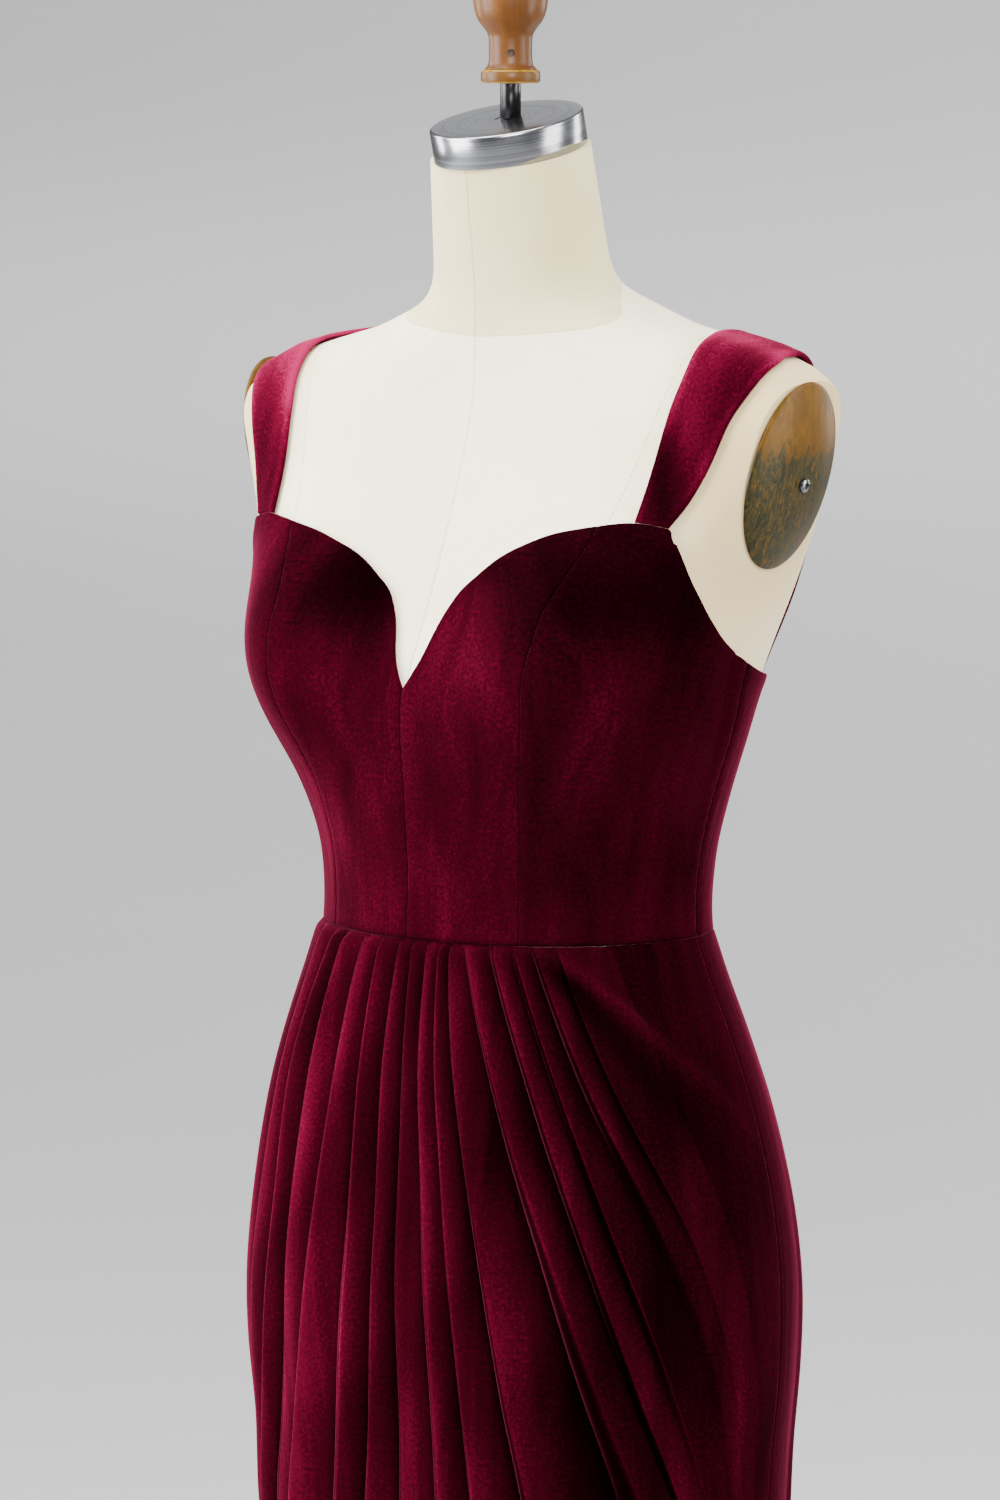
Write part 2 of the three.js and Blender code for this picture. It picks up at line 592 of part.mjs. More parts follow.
// Straps: stations on a fan of rays from inside the body, over the shoulder from front to back
function strapPanel(side) {
  const stations = 24;
  const lanes = 4;
  const innerEdge = smoothCurve(STRAP, "along", "inner");
  const outerEdge = smoothCurve(STRAP, "along", "outer");
  const coreZ = smoothCurve(STRAP, "along", "core");
  const surfaceAt = (x, along, lift) => {
    const turn = lift * DEGREES;
    const direction = new THREE.Vector3(0, -Math.cos(turn), Math.sin(turn));
    return castRay(bodyLevel, new THREE.Vector3(x, STRAP_CORE_Y, coreZ(along)), direction);
  };
  const isBelowEdge = (x, along, lift) => {
    const p = surfaceAt(x, along, lift);
    const angle = Math.atan2(p.x, -(p.y - axisY(p.z))) / DEGREES;
    return p.z < topEdge(angle) + STRAP_REST;
  };
  const outer = [];
  const inner = [];
  for (let s = 0; s <= stations; s += 1) {
    const along = s / stations;
    outer.push([]);
    inner.push([]);
    for (let lane = 0; lane <= lanes; lane += 1) {
      const x = side * mix(innerEdge(along), outerEdge(along), lane / lanes);
      const xFront = side * mix(innerEdge(0), outerEdge(0), lane / lanes);
      const xBack = side * mix(innerEdge(1), outerEdge(1), lane / lanes);
      const front = halve(5, 70, (lift) => isBelowEdge(xFront, 0, lift));
      const back = halve(215, 150, (lift) => isBelowEdge(xBack, 1, lift));
      const point = surfaceAt(x, along, mix(front, back, along));
      const normal = outwardNormal(bodyLevel, point);
      outer[s].push(point.clone().addScaledVector(normal, STRAP_EASE + WALL));
      inner[s].push(point.clone().addScaledVector(normal, STRAP_EASE));
    }
  }
  if (side < 0) {
    outer.forEach((row) => row.reverse());
    inner.forEach((row) => row.reverse());
  }
  return wallSolid(outer, inner);
}

// Skirt
function foldLine(values) {
  const rows = FOLD_HEIGHTS.map((z, i) => ({ z, value: values[i] }));
  return smoothCurve(rows, "z", "value");
}

// A panel's lines from seam to seam: seams are lines that do not rise
function foldLines(folds, fromSeam, toSeam) {
  const inside = folds.map((fold) => ({ angle: foldLine(fold.path), rise: foldLine(fold.rise) }));
  return [{ angle: fromSeam, rise: () => 0 }, ...inside, { angle: toSeam, rise: () => 0 }];
}

// How far the cloth stands out at a share of the way from one crest to the next
const valleyShare = straightCurve(FOLD_SHAPE, "z", "valley");
const crestSharpness = straightCurve(FOLD_SHAPE, "z", "sharp");

function foldRise(line, next, share, z) {
  const valley = valleyShare(z);
  const sharp = crestSharpness(z);
  const falling = share < valley ? 0.5 + 0.5 * Math.cos((Math.PI * share) / valley) : 0;
  const climb = (share - valley) / (1 - valley);
  const rising = climb > 0 ? 0.5 - 0.5 * Math.cos(Math.PI * climb) : 0;
  const before = Math.max(line.rise(z), 0) * falling ** sharp;
  return before + Math.max(next.rise(z), 0) * rising ** sharp;
}

const sweeps = SWEEP_FOLDS.map((fold) => ({
  ...fold,
  angle: smoothCurve(fold.path, "z", "angle"),
  strength: smoothCurve(fold.path, "z", "strength"),
  low: Math.min(...fold.path.map((row) => row.z)),
}));

// The draped folds are measured across their slanting line
function sweepRise(angle, z, radius) {
  let rise = 0;
  for (const fold of sweeps) {
    if (z < fold.low) continue;
    const step = (fold.angle(z - 2) - fold.angle(z + 2)) * DEGREES * radius * 0.25;
    const across = ((angle - fold.angle(z)) * DEGREES * radius) / Math.hypot(1, step);
    rise += fold.rise * Math.max(fold.strength(z), 0) * bell(across / fold.wide);
  }
  return rise;
}

function skirtPoint(lines, place, z, isFront) {
  const index = Math.min(Math.floor(place), lines.length - 2);
  const share = place - index;
  const angle = mix(lines[index].angle(z), lines[index + 1].angle(z), share);
  const base = surfacePoint(skirtLevel, angle, z);
  const normal = outwardNormal(skirtLevel, base);
  let rise = foldRise(lines[index], lines[index + 1], share, z);
  if (isFront) rise += sweepRise(angle, z, Math.hypot(base.x, base.y));
  return base.addScaledVector(normal, rise);
}

// The columns' places at a height: crests are at whole numbers, and where folds run, columns
// follow the valleys too
function columnPlaces(steps, z) {
  const places = steps.flatMap((count, i) => {
    if (count !== FOLD_STEPS) return Array.from({ length: count }, (_, k) => i + k / count);
    const valley = valleyShare(z);
    return [i, i + valley / 2, i + valley];
  });
  return [...places, steps.length];
}

// The wall's inner side lies square to the folded surface
function skirtPanel(folds, fromSeam, toSeam, steps, isFront) {
  const lines = foldLines(folds, fromSeam, toSeam);
  const reach = 0.04;
  const last = lines.length - 1;
  const outer = [];
  const inner = [];
  SKIRT_ROWS.slice().reverse().forEach((z, r) => {
    outer.push([]);
    inner.push([]);
    columnPlaces(steps, z).forEach((place) => {
      const point = skirtPoint(lines, place, z, isFront);
      const ahead = skirtPoint(lines, Math.min(place + reach, last), z, isFront);
      const behind = skirtPoint(lines, Math.max(place - reach, 0), z, isFront);
      const above = skirtPoint(lines, place, Math.min(z + 2, 0), isFront);
      const below = skirtPoint(lines, place, Math.max(z - 2, HEM), isFront);
      const normal = ahead.sub(behind).cross(above.sub(below)).normalize();
      outer[r].push(point);
      inner[r].push(point.clone().addScaledVector(normal, -WALL));
      inner[r].at(-1).z = point.z;
    });
  });
  return wallSolid(outer, inner);
}

// A seam line moved aside by half the gap
function besideSeam(seam, side) {
  return (z) => {
    const radius = (skirtCurve.half(z) + skirtCurve.front(z)) / 2;
    return seam(z) + (side * SEAM_GAP) / 2 / radius / DEGREES;
  };
}

// Hard parts
function latheSolid(outline, segments) {
  const profile = outline.map(([radius, z]) => new THREE.Vector2(radius, z));
  return new THREE.LatheGeometry(profile, segments).rotateX(Math.PI / 2);
}

// An oval plate with an upright rim and a domed face
function armPlate(side) {
  const { wide, tall, rim, dome, crown } = PLATE;
  const radius = tall / 2;
  const foot = SEAM_GAP;
  const outline = [[0, foot], [radius - 0.6, foot], [radius, foot + 0.5]];
  for (const share of PLATE_RINGS) {
    outline.push([radius * share, foot + rim + dome * (1 - share ** crown)]);
  }
  outline.push([0, foot + rim + dome]);
  const geometry = latheSolid(outline, 26).scale(wide / tall, 1, 1);
  return placeOnArm(geometry, side, 0, 0);
}

function plateScrew(side) {
  const foot = PLATE.rim + PLATE.dome + 2 * SEAM_GAP;
  const top = foot + PLATE_SCREW.thick;
  const { radius } = PLATE_SCREW;
  const outline = [[0, foot], [radius, foot], [radius, top - 0.6], [radius - 0.8, top], [0, top]];
  return placeOnArm(latheSolid(outline, 12), side, PLATE_SCREW.back, PLATE_SCREW.up);
}

function neckCap() {
  const { radius, tall, bevel } = CAP;
  const outline = [[0, 0], [radius, 0], [radius, tall - bevel], [radius - bevel, tall], [0, tall]];
  const geometry = latheSolid(outline, 40);
  geometry.translate(0, 0, SEAM_GAP).rotateX(NECK_TOP.tilt);
  return geometry.translate(0, NECK_TOP.y, NECK_TOP.z + WAIST);
}

// The rod stands upright, its foot cut to the cap's slope
function neckRod() {
  const geometry = new THREE.CylinderGeometry(ROD.radius, ROD.radius, 1, 20);
  geometry.rotateX(Math.PI / 2).translate(0, FINIAL.y, 0);
  const position = geometry.attributes.position;
  for (let i = 0; i < position.count; i += 1) {
    const foot = neckPlane(position.getY(i), CAP.tall + 2 * SEAM_GAP);
    position.setZ(i, WAIST + (position.getZ(i) < 0 ? foot : ROD.top));
  }
  return geometry;
}

// The turned finial, with the blind hole of its set screw
function finial(wasm) {
  const foot = WAIST + ROD.top + SEAM_GAP;
  const profile = FINIAL_OUTLINE.map(({ up, radius }) => [radius, foot + up]);
  const outline = [[0, profile[0][1]], ...profile, [0, profile.at(-1)[1]]];
  const body = latheSolid(outline, 20).translate(0, FINIAL.y, 0);
  const drill = new THREE.CylinderGeometry(FINIAL.hole, FINIAL.hole, 2 * FINIAL.holeDepth, 14);
  drill.translate(0, -FINIAL.neck, 0).rotateZ(FINIAL.holeTurn);
  drill.translate(0, FINIAL.y, foot + FINIAL.holeUp);
  return fromManifold(toManifold(wasm, body).subtract(toManifold(wasm, drill)));
}

function standBase() {
  const { radius, edge, tall, boss, bossTop } = BASE;
  const outline = [
    [0, 0],
    [radius, 0],
    [radius, edge - 3],
    [radius - 4, edge],
    [boss + 22, tall - 3],
    [boss, tall],
    [boss - 2, bossTop],
    [0, bossTop],
  ];
  return latheSolid(outline, 40);
}

function standPole() {
  const geometry = new THREE.CylinderGeometry(POLE.radius, POLE.radius, 1, 24);
  const tall = COLLAR_FOOT - SEAM_GAP - POLE_FOOT;
  return geometry.scale(1, tall, 1).rotateX(Math.PI / 2).translate(0, 0, POLE_FOOT + tall / 2);
}

// The flanged collar between the pole and the form's flat underside
function poleCollar() {
  const top = COLLAR_FOOT + COLLAR.tall;
  const outline = [
    [0, COLLAR_FOOT],
    [COLLAR.neck, COLLAR_FOOT],
    [COLLAR.neck, top - COLLAR.flange],
    [COLLAR.radius, top - COLLAR.flange],
    [COLLAR.radius, top],
    [0, top],
  ];
  return latheSolid(outline, 28);
}

// A drop-shaped slider that lies on the cloth at the centre back
function zipSlider() {
  const shape = new THREE.Shape();
  const { wide, tall, thick, z } = SLIDER;
  shape.absarc(0, wide / 2 - tall / 2, wide / 2, Math.PI, 0, false);
  shape.lineTo(wide / 4, tall / 2);
  shape.lineTo(-wide / 4, tall / 2);
  const geometry = new THREE.ExtrudeGeometry(shape, {
    depth: thick,
    curveSegments: 8,
    bevelEnabled: false,
  });
  const cloth = surfacePoint(bodyLevel, HALF_TURN, z);
  const normal = outwardNormal(bodyLevel, cloth);
  cloth.addScaledVector(normal, EASE + WALL + SEAM_GAP + SLIDER.lift);
  const across = new THREE.Vector3(-1, 0, 0);
  const upward = normal.clone().cross(across).normalize();
  geometry.applyMatrix4(new THREE.Matrix4().makeBasis(across, upward, normal));
  return geometry.translate(cloth.x, cloth.y, cloth.z + WAIST);
}

const wasm = await Module();
wasm.setup();

const dressOnForm = new THREE.Group();

function addPiece(name, geometry, material) {
  const mesh = new THREE.Mesh(geometry, material);
  mesh.name = name;
  dressOnForm.add(mesh);
}

const angleZero = () => 0;
const halfTurn = () => HALF_TURN;
const mirrored = (seam) => (z) => -seam(z);
const rightPrincess = mirrored(princessAngle);
const rightSide = mirrored(sideAngle);
const frontShares = [0, 0.05, 0.11, 0.18, 0.28, 0.42, 0.57, 0.71, 0.83, 0.92, 1];
const sideShares = [0, 0.08, 0.17, 0.27, 0.325, 0.41, 0.5, 0.6, 0.73, 0.86, 1];
const backShares = [0, 0.1, 0.22, 0.36, 0.52, 0.68, 0.84, 1];
const flipped = (shares) => shares.map((share) => 1 - share).reverse();
const frontRows = [0, 0.05, 0.14, 0.25, 0.36, 0.45, 0.52, 0.58, 0.64, 0.7, 0.77, 0.85, 0.93, 1];
const backRows = [0, 0.08, 0.2, 0.34, 0.48, 0.62, 0.76, 0.88, 1];

const bodicePieces = [
  ["bodice_front_left", angleZero, princessAngle, frontShares, frontRows],
  ["bodice_front_right", rightPrincess, angleZero, flipped(frontShares), frontRows],
  ["bodice_side_left", princessAngle, sideAngle, sideShares, frontRows],
  ["bodice_side_right", rightSide, rightPrincess, flipped(sideShares), frontRows],
  ["bodice_back_left", sideAngle, halfTurn, backShares, backRows],
  ["bodice_back_right", mirrored(halfTurn), rightSide, flipped(backShares), backRows],
];
for (const [name, fromSeam, toSeam, shares, rows] of bodicePieces) {
  addPiece(name, bodicePanel(fromSeam, toSeam, shares, rows), VELVET);
}
addPiece("strap_left", strapPanel(1), VELVET);
addPiece("strap_right", strapPanel(-1), VELVET);

const frontSteps = [...FRONT_FOLDS.map(() => FOLD_STEPS), SMOOTH_STEPS];
const rightSeam = besideSeam(rightSide, 1);
addPiece(
  "skirt_front",
  skirtPanel(FRONT_FOLDS, rightSeam, besideSeam(sideAngle, -1), frontSteps, true),
  VELVET,
);
const backSteps = [...BACK_FLUTES.map(() => FOLD_STEPS), FOLD_STEPS];
const rightFlutes = BACK_FLUTES.map(({ path, rise }) => ({ path: path.map((a) => -a), rise }));
addPiece(
  "skirt_back_left",
  skirtPanel(BACK_FLUTES, besideSeam(sideAngle, 1), besideSeam(halfTurn, -1), backSteps, false),
  VELVET,
);
addPiece(
  "skirt_back_right",
  skirtPanel(
    rightFlutes.reverse(),
    besideSeam(mirrored(halfTurn), 1),
    besideSeam(rightSide, -1),
    backSteps,
    false,
  ),
  VELVET,
);
addPiece("zip_slider", zipSlider(), STEEL);

addPiece("form_body", formBody(wasm), COVER);
for (const [word, side] of [["left", 1], ["right", -1]]) {
  addPiece(`arm_plate_${word}`, armPlate(side), BRASS);
  addPiece(`plate_screw_${word}`, plateScrew(side), STEEL);
}
addPiece("neck_cap", neckCap(), STEEL);
addPiece("neck_rod", neckRod(), BLACK);
addPiece("finial", finial(wasm), WOOD);
addPiece("pole_collar", poleCollar(), BLACK);
addPiece("stand_pole", standPole(), BLACK);
addPiece("stand_base", standBase(), BLACK);

export default dressOnForm;
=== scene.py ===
# A floor-length mermaid dress in burgundy velvet, on a limbless dress form and its stand.
# Tables are in millimetres, with heights from the waist seam. Angles go round from the centre
# front (0) over the wearer's left (90) to the centre back (180). Meshes are in metres.
import math

import bpy
import numpy as np
from mathutils import Euler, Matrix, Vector


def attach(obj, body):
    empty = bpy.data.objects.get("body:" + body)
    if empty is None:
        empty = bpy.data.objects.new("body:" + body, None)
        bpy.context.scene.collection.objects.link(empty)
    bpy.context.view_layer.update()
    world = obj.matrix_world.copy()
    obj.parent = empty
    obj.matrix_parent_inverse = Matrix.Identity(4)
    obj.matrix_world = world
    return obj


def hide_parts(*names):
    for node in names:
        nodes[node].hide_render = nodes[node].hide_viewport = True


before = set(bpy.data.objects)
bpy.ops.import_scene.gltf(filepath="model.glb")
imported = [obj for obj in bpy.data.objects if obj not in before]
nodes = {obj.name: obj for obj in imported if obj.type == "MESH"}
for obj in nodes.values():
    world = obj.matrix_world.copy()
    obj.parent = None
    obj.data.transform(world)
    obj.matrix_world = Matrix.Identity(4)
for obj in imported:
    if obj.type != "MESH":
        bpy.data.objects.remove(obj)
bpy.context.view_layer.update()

MM = 0.001
WAIST = 1060.0
DEGREE = math.pi / 180
CLOTH = 1.8  # velvet with its backing
EASE = 1.4  # from the form's cover to the inside of the bodice
STRAP_EASE = 1.8
SEAM_GAP = 0.08  # between pieces that are sewn together
TOP_TILT = 4.2  # the top edge's rise at the wearer's left side, and its drop at the right
RAY_REACH = 460.0  # past the farthest cloth
HALVINGS = 30  # of an interval, when a ray or an edge is looked for
BODICE_RADIUS = 105.0
SKIRT_RADIUS = 130.0
PUCKER = 8.5  # from one pucker of a sewn seam to the next

# The form's sections: height, half width, front, back, middle, squareness before and behind
BODY = [
    (-300, 150, 84, 104, 8, 2.2, 2.2),
    (-260, 160, 92, 118, 8, 2.2, 2.2),
    (-205, 166, 98, 125.5, 8, 2.2, 2.2),
    (-150, 161, 100, 122, 6, 2.2, 2.2),
    (-100, 149, 100, 116, 4, 2.2, 2.2),
    (-50, 133, 98, 103, 2, 2.2, 2.2),
    (0, 119, 97, 89, 0, 2.03, 2.03),
    (40, 121, 96, 89, 0, 2.05, 2.05),
    (80, 131.5, 98.5, 87, 0, 2.15, 2.15),
    (120, 145.5, 97, 87, 0, 2.4, 2.3),
    (160, 154, 88, 98, 2, 2.75, 2.5),
    (200, 166, 75, 105, 6, 3.0, 2.75),
    (240, 186, 61, 104, 9, 3.1, 2.55),
    (270, 204, 51, 97, 12, 3.0, 2.1),
    (300, 220, 43, 91, 14, 3.0, 1.95),
    (340, 226, 38, 87, 16, 2.6, 1.9),
    (400, 226, 38, 87, 16, 2.6, 1.9),
]
# The bust: how far it stands out, where, and how it fades sideways, up and down
BUST = {"side": 106, "z": 158, "out": 31, "wide": 66, "up": 70, "down": 56}
CLEFT = {"out": 6, "z": 140, "wide": 50, "tall": 34}
# The top of the shoulders, by distance from the middle
SHOULDER = [
    (0, 380), (50, 366), (70, 358), (100, 346), (131, 339), (160, 332), (189, 322),
    (205, 314), (235, 294),
]
SHOULDER_LINE_Y = 15.0
SHOULDER_ROUND = {"wide": 21, "most": 110, "steep": 0.6, "blend": 14, "tilt_side": 150}
NECK = {"z": 330, "y": 9, "half": 60, "deep": 44, "tall": 115, "lean": 17, "taper": 10,
        "taper_deep": 3, "root": 300, "blend": 12}
NECK_TOP = {"y": -8.0, "z": 445.0, "tilt": 13.5 * DEGREE}
NECK_SEAM = {"z": 342.0, "y": -36.0, "slope": 0.44}  # the plane where the neck's cover starts
FORM_BOTTOM = -260.0
# The cover's princess seams: offset and lean of the line, half its width, and where it stops behind
FORM_SEAM = {"foot": -209.0, "lean": 0.25, "half": 0.4, "behind": 30.0}
STITCH = 0.0034  # one stitch of the cover's seams, in metres
THREAD = 0.0011  # one thread of the linen
# The middle of the form from which rays go out: height and depth
AXIS = [(-1045, 0), (0, 0), (240, 8), (300, 16), (330, 12), (445, -8), (470, -11)]
ARM = {"x": 186.5, "y": 11.0, "z": 267.0, "tilt": 15 * DEGREE}
PLATE = {"wide": 74.0, "tall": 110.0, "rim": 1.8, "dome": 6.4, "crown": 2.6}
PLATE_SCREW = {"up": -3.5, "back": 5.0}
CAP = {"radius": 44.5, "tall": 19.0}
ROD = {"radius": 6.0, "y": -8.5, "top": 483.5}
HARDWARE_GAP = 0.34  # under each hard piece
FINIAL_HOLE = {"radius": 2.3, "deep": 7.0, "up": 17.0, "turn": 41 * DEGREE, "neck": 12.6}
# The turned finial: radius and height above its foot
FINIAL = [
    (15.2, 0), (16.4, 0.3), (17, 1.2), (17.1, 3.8), (17, 6.2), (16.4, 7.1), (15.2, 7.8), (14.6, 8.1),
    (14.4, 8.7), (13.6, 9.3), (13.1, 10), (12.6, 12), (12.4, 15), (12.4, 20), (12.5, 24),
    (12.6, 26), (13.2, 28.2), (14.4, 30), (16.2, 32.4), (18.2, 35), (19.7, 38.4), (20.8, 42),
    (21.4, 46), (21.6, 50), (21.4, 55), (20.6, 60), (19.4, 64.2), (17.8, 68), (15.6, 71.8),
    (13, 75), (10.4, 77.4), (7.5, 79), (4.8, 80), (2.5, 80.5),
]
FLANGE = {"middle": 4.1, "half": 3.4}  # the finial's foot, whose two edges are chipped

# The neckline and armhole edge, by angle, before the tilt
TOP_EDGE = [
    (0, 142), (2.5, 149), (6, 161), (9.5, 177), (15, 193), (23.5, 206), (32, 216.5),
    (40.5, 224), (47.5, 229.5), (54, 233), (59, 235.5), (63.5, 237), (68.6, 234.5),
    (69.5, 227), (71.5, 211), (75, 194), (80.5, 177), (88, 163), (93.5, 155.5), (100, 149.5),
    (110, 145.5), (125, 144), (180, 143),
]
TOP_CORNER = 69.0  # where the neckline ends and the armhole starts, beside the strap
PRINCESS_SEAM = [
    (-10, 40), (60, 39.6), (120, 39.4), (160, 40), (178, 42), (190, 43.8), (204, 47.4),
    (218, 51.6), (230, 55.2), (240, 57.6),
]
SIDE_SEAM = [
    (-1045, 95), (-600, 97), (-300, 99), (-205, 100.5), (-100, 100.5), (-50, 99.2),
    (0, 96.2), (35, 94.7), (96, 92.6), (160, 92.6),
]
# A strap from its front end over the shoulder: share of the way, inner edge, outer edge, and
# the height inside the body from which its stations are found
STRAP = [
    (0, 133, 151.5, 200), (0.03, 134.5, 159, 209), (0.06, 136, 165, 218), (0.1, 138.5, 172, 229),
    (0.14, 141, 178.5, 240), (0.18, 143.5, 184.5, 250), (0.22, 143.5, 187, 258),
    (0.26, 141.5, 186.5, 266), (0.3, 137.5, 184, 275), (0.35, 133, 180.5, 281),
    (0.4, 130.5, 178.5, 286), (0.5, 129, 177, 290), (0.6, 128, 174, 286), (0.7, 125, 168, 270),
    (0.8, 120, 158, 230), (0.9, 110, 141, 190), (1, 92, 122, 150),
]
STRAP_CORE_Y = 20.0
STRAP_REST = 0.3
STRAP_CUT = {"wide": 56.0, "fill": 0.76}  # the flat strap, and how much of its box it fills
STRAP_PILE = 237.0  # where the strap's pile starts in the weave

# The skirt's sections: height, half width, front, back, middle, squareness
SKIRT = [
    (-1045, 352, 322, 338, 4, 2.0),
    (-1000, 330, 300, 315, 4, 2.0),
    (-900, 276, 244, 256, 4, 2.0),
    (-800, 224, 190, 198, 4, 2.0),
    (-700, 182, 144, 148, 4, 2.05),
    (-600, 154, 114, 116, 4, 2.1),
    (-540, 149, 109, 110, 4, 2.1),
    (-430, 158, 113, 120, 5, 2.15),
    (-340, 165.5, 117, 123, 5, 2.2),
    (-300, 167.5, 118, 124.5, 6, 2.2),
    (-250, 171, 120, 129, 6, 2.2),
    (-205, 171, 120, 131.5, 6, 2.2),
    (-150, 165, 117, 128.5, 5, 2.2),
    (-100, 154, 112.5, 121, 3, 2.16),
    (-60, 141.5, 109, 110, 2, 2.12),
    (-25, 129.5, 105, 99, 1, 2.08),
    (0, 122.2, 100.4, 92.2, 0, 2.04),
]
FOLD_HEIGHTS = [0, -80, -165, -250, -330, -600, -1045]
# The folds from the wearer's right to left: the crest's angle at each height, and its rise there
FRONT_FOLDS = [
    ([-88, -89, -90, -90, -90, -88, -86], [1.4, 2.4, 3, 3, 3, 3, 30]),
    ([-75, -76, -77, -78, -79, -78, -73], [2.4, 4, 5, 5, 4, 3, 8]),
    ([-61, -62, -62, -66, -69, -67, -60], [2.6, 5, 6, 6, 5, 3, 34]),
    ([-46, -51, -53, -56, -60, -58, -47], [3.4, 6, 6, 6, 5, 3, 8]),
    ([-35, -43, -43, -47, -53, -48, -34], [4, 7, 7, 7, 6, 3, 34]),
    ([-27.5, -32, -35.5, -40, -46, -40, -27.5], [4.4, 8, 5.5, 1.5, 0.5, 0, 2]),
    ([-16, -19.6, -23.3, -28, -35, -33, -21], [4.4, 9, 10, 10, 9, 4, 8]),
    ([-9, -10, -10, -11.7, -15, -19, -8], [4.4, 9, 9.5, 10, 10, 4, 36]),
    ([-0.5, -2, -2, -2, -4.3, -6, 5], [3.6, 6, 6.5, 8, 8.5, 4, 8]),
    ([4, 5.5, 5.5, 7, 7.5, 5, 11.5], [3.2, 4.5, 4, 4.5, 5, 0, 2]),
    ([10, 11.3, 15.5, 18.7, 21, 13, 18], [3.4, 5.5, 7.5, 9.5, 10.5, 5, 36]),
    ([14.5, 17, 21.5, 26, 30, 22, 24.5], [4.6, 5.5, 5, 6, 7.5, 2, 2]),
    ([18.2, 24, 31.5, 38, 44.5, 35, 31], [4.4, 9, 10.5, 11, 11, 5, 9]),
    ([23.6, 35, 47, 57.5, 67.5, 51, 45], [5, 9.5, 12.5, 12.5, 12, 6, 34]),
    ([32, 44.2, 54.5, 65, 76, 66, 58], [5, 9, 7, 2.5, 0.6, 2, 9]),
    ([38.5, 50, 61, 72, 82, 72, 65], [2.4, 3.4, 1.5, 0.4, 0, 0, 2]),
    ([44.5, 57, 71, 82, 88, 80, 72], [5, 7, 2, 0.6, 0.4, 2, 34]),
    ([51, 63, 77, 86, 91, 84, 77], [0, 0, 0, 0, 0, 0, 4]),
    ([66, 76, 86, 92, 95, 91, 86], [0, 0, 0, 0, 0.3, 1, 9]),
]
BACK_FLUTES = [
    ([112, 113, 114, 114, 113, 112, 109], [0, 0, 1, 1.5, 2, 3, 34]),
    ([131, 131, 132, 132, 132, 131, 128], [0, 0, 1, 1.5, 2, 3, 10]),
    ([149, 149, 149, 149, 149, 149, 147], [0, 0, 1, 1.5, 2, 3, 36]),
    ([166, 166, 166, 166, 166, 166, 165], [0, 0, 1, 1.5, 2, 3, 10]),
]
# Where the valley lies between two crests, and how narrow the crests are, by height
FOLD_SHAPE = [(-1045, 0.5, 1), (-640, 0.56, 1.1), (-340, 0.8, 1.2), (0, 0.78, 1.2)]
# The draped fold that sweeps to the wearer's left hip, and the hollow below it: rise, width, and
# height, angle, strength
SWEEPS = [
    (7, 5, [(0, 46, 0.45), (-16, 56.5, 0.95), (-40, 68, 1), (-66, 78, 0.8), (-84, 86, 0.5),
            (-118, 98, 0)]),
    (-3.6, 8, [(0, 45, 0.1), (-22, 54.5, 0.9), (-38, 60.5, 1), (-64, 68, 0.8), (-100, 79, 0.4),
               (-140, 90, 0)]),
]


# Curves and surfaces

def smooth_curve(at, values):
    """A curve with no kinks through the given values."""
    order = np.argsort(at)
    at = np.array(at, float)[order]
    values = np.array(values, float)[order]
    gap = np.diff(at)
    rise = np.diff(values) / gap
    slope = np.concatenate([rise[:1], rise])
    slope[1:-1] = (rise[1:] * gap[:-1] + rise[:-1] * gap[1:]) / (gap[:-1] + gap[1:])

    def curve(x):
        i = np.clip(np.searchsorted(at, x) - 1, 0, len(at) - 2)
        s = np.clip((x - at[i]) / gap[i], 0, 1)
        ends = (2 * s**3 - 3 * s**2 + 1) * values[i] + (3 * s**2 - 2 * s**3) * values[i + 1]
        bends = (s**3 - 2 * s**2 + s) * slope[i] + (s**3 - s**2) * slope[i + 1]
        return ends + bends * gap[i]

    return curve


def straight_curve(at, values):
    order = np.argsort(at)
    at = np.array(at, float)[order]
    values = np.array(values, float)[order]
    return lambda x: np.interp(x, at, values)


def columns(table):
    return list(zip(*table))


def curves_of(table, names):
    at, *values = columns(table)
    return {name: smooth_curve(at, value) for name, value in zip(names, values)}


def bell(distance):
    return np.exp(-(distance**2))


def soft_step(low, high, x):
    s = np.clip((x - low) / (high - low), 0, 1)
    return s * s * (3 - 2 * s)


def smooth_min(a, b, blend):
    share = np.clip(0.5 + 0.5 * (b - a) / blend, 0, 1)
    return b * (1 - share) + a * share - blend * share * (1 - share)


body = curves_of(BODY, ["half", "front", "back", "mid", "square_front", "square_back"])
skirt = curves_of(SKIRT, ["half", "front", "back", "mid", "square"])
shoulder_top = straight_curve(*columns(SHOULDER))
axis_y = straight_curve(*columns(AXIS))
front_edge = smooth_curve(*columns([row for row in TOP_EDGE if row[0] < TOP_CORNER]))
side_edge = smooth_curve(*columns([row for row in TOP_EDGE if row[0] > TOP_CORNER]))
princess_angle = smooth_curve(*columns(PRINCESS_SEAM))
side_angle = smooth_curve(*columns(SIDE_SEAM))


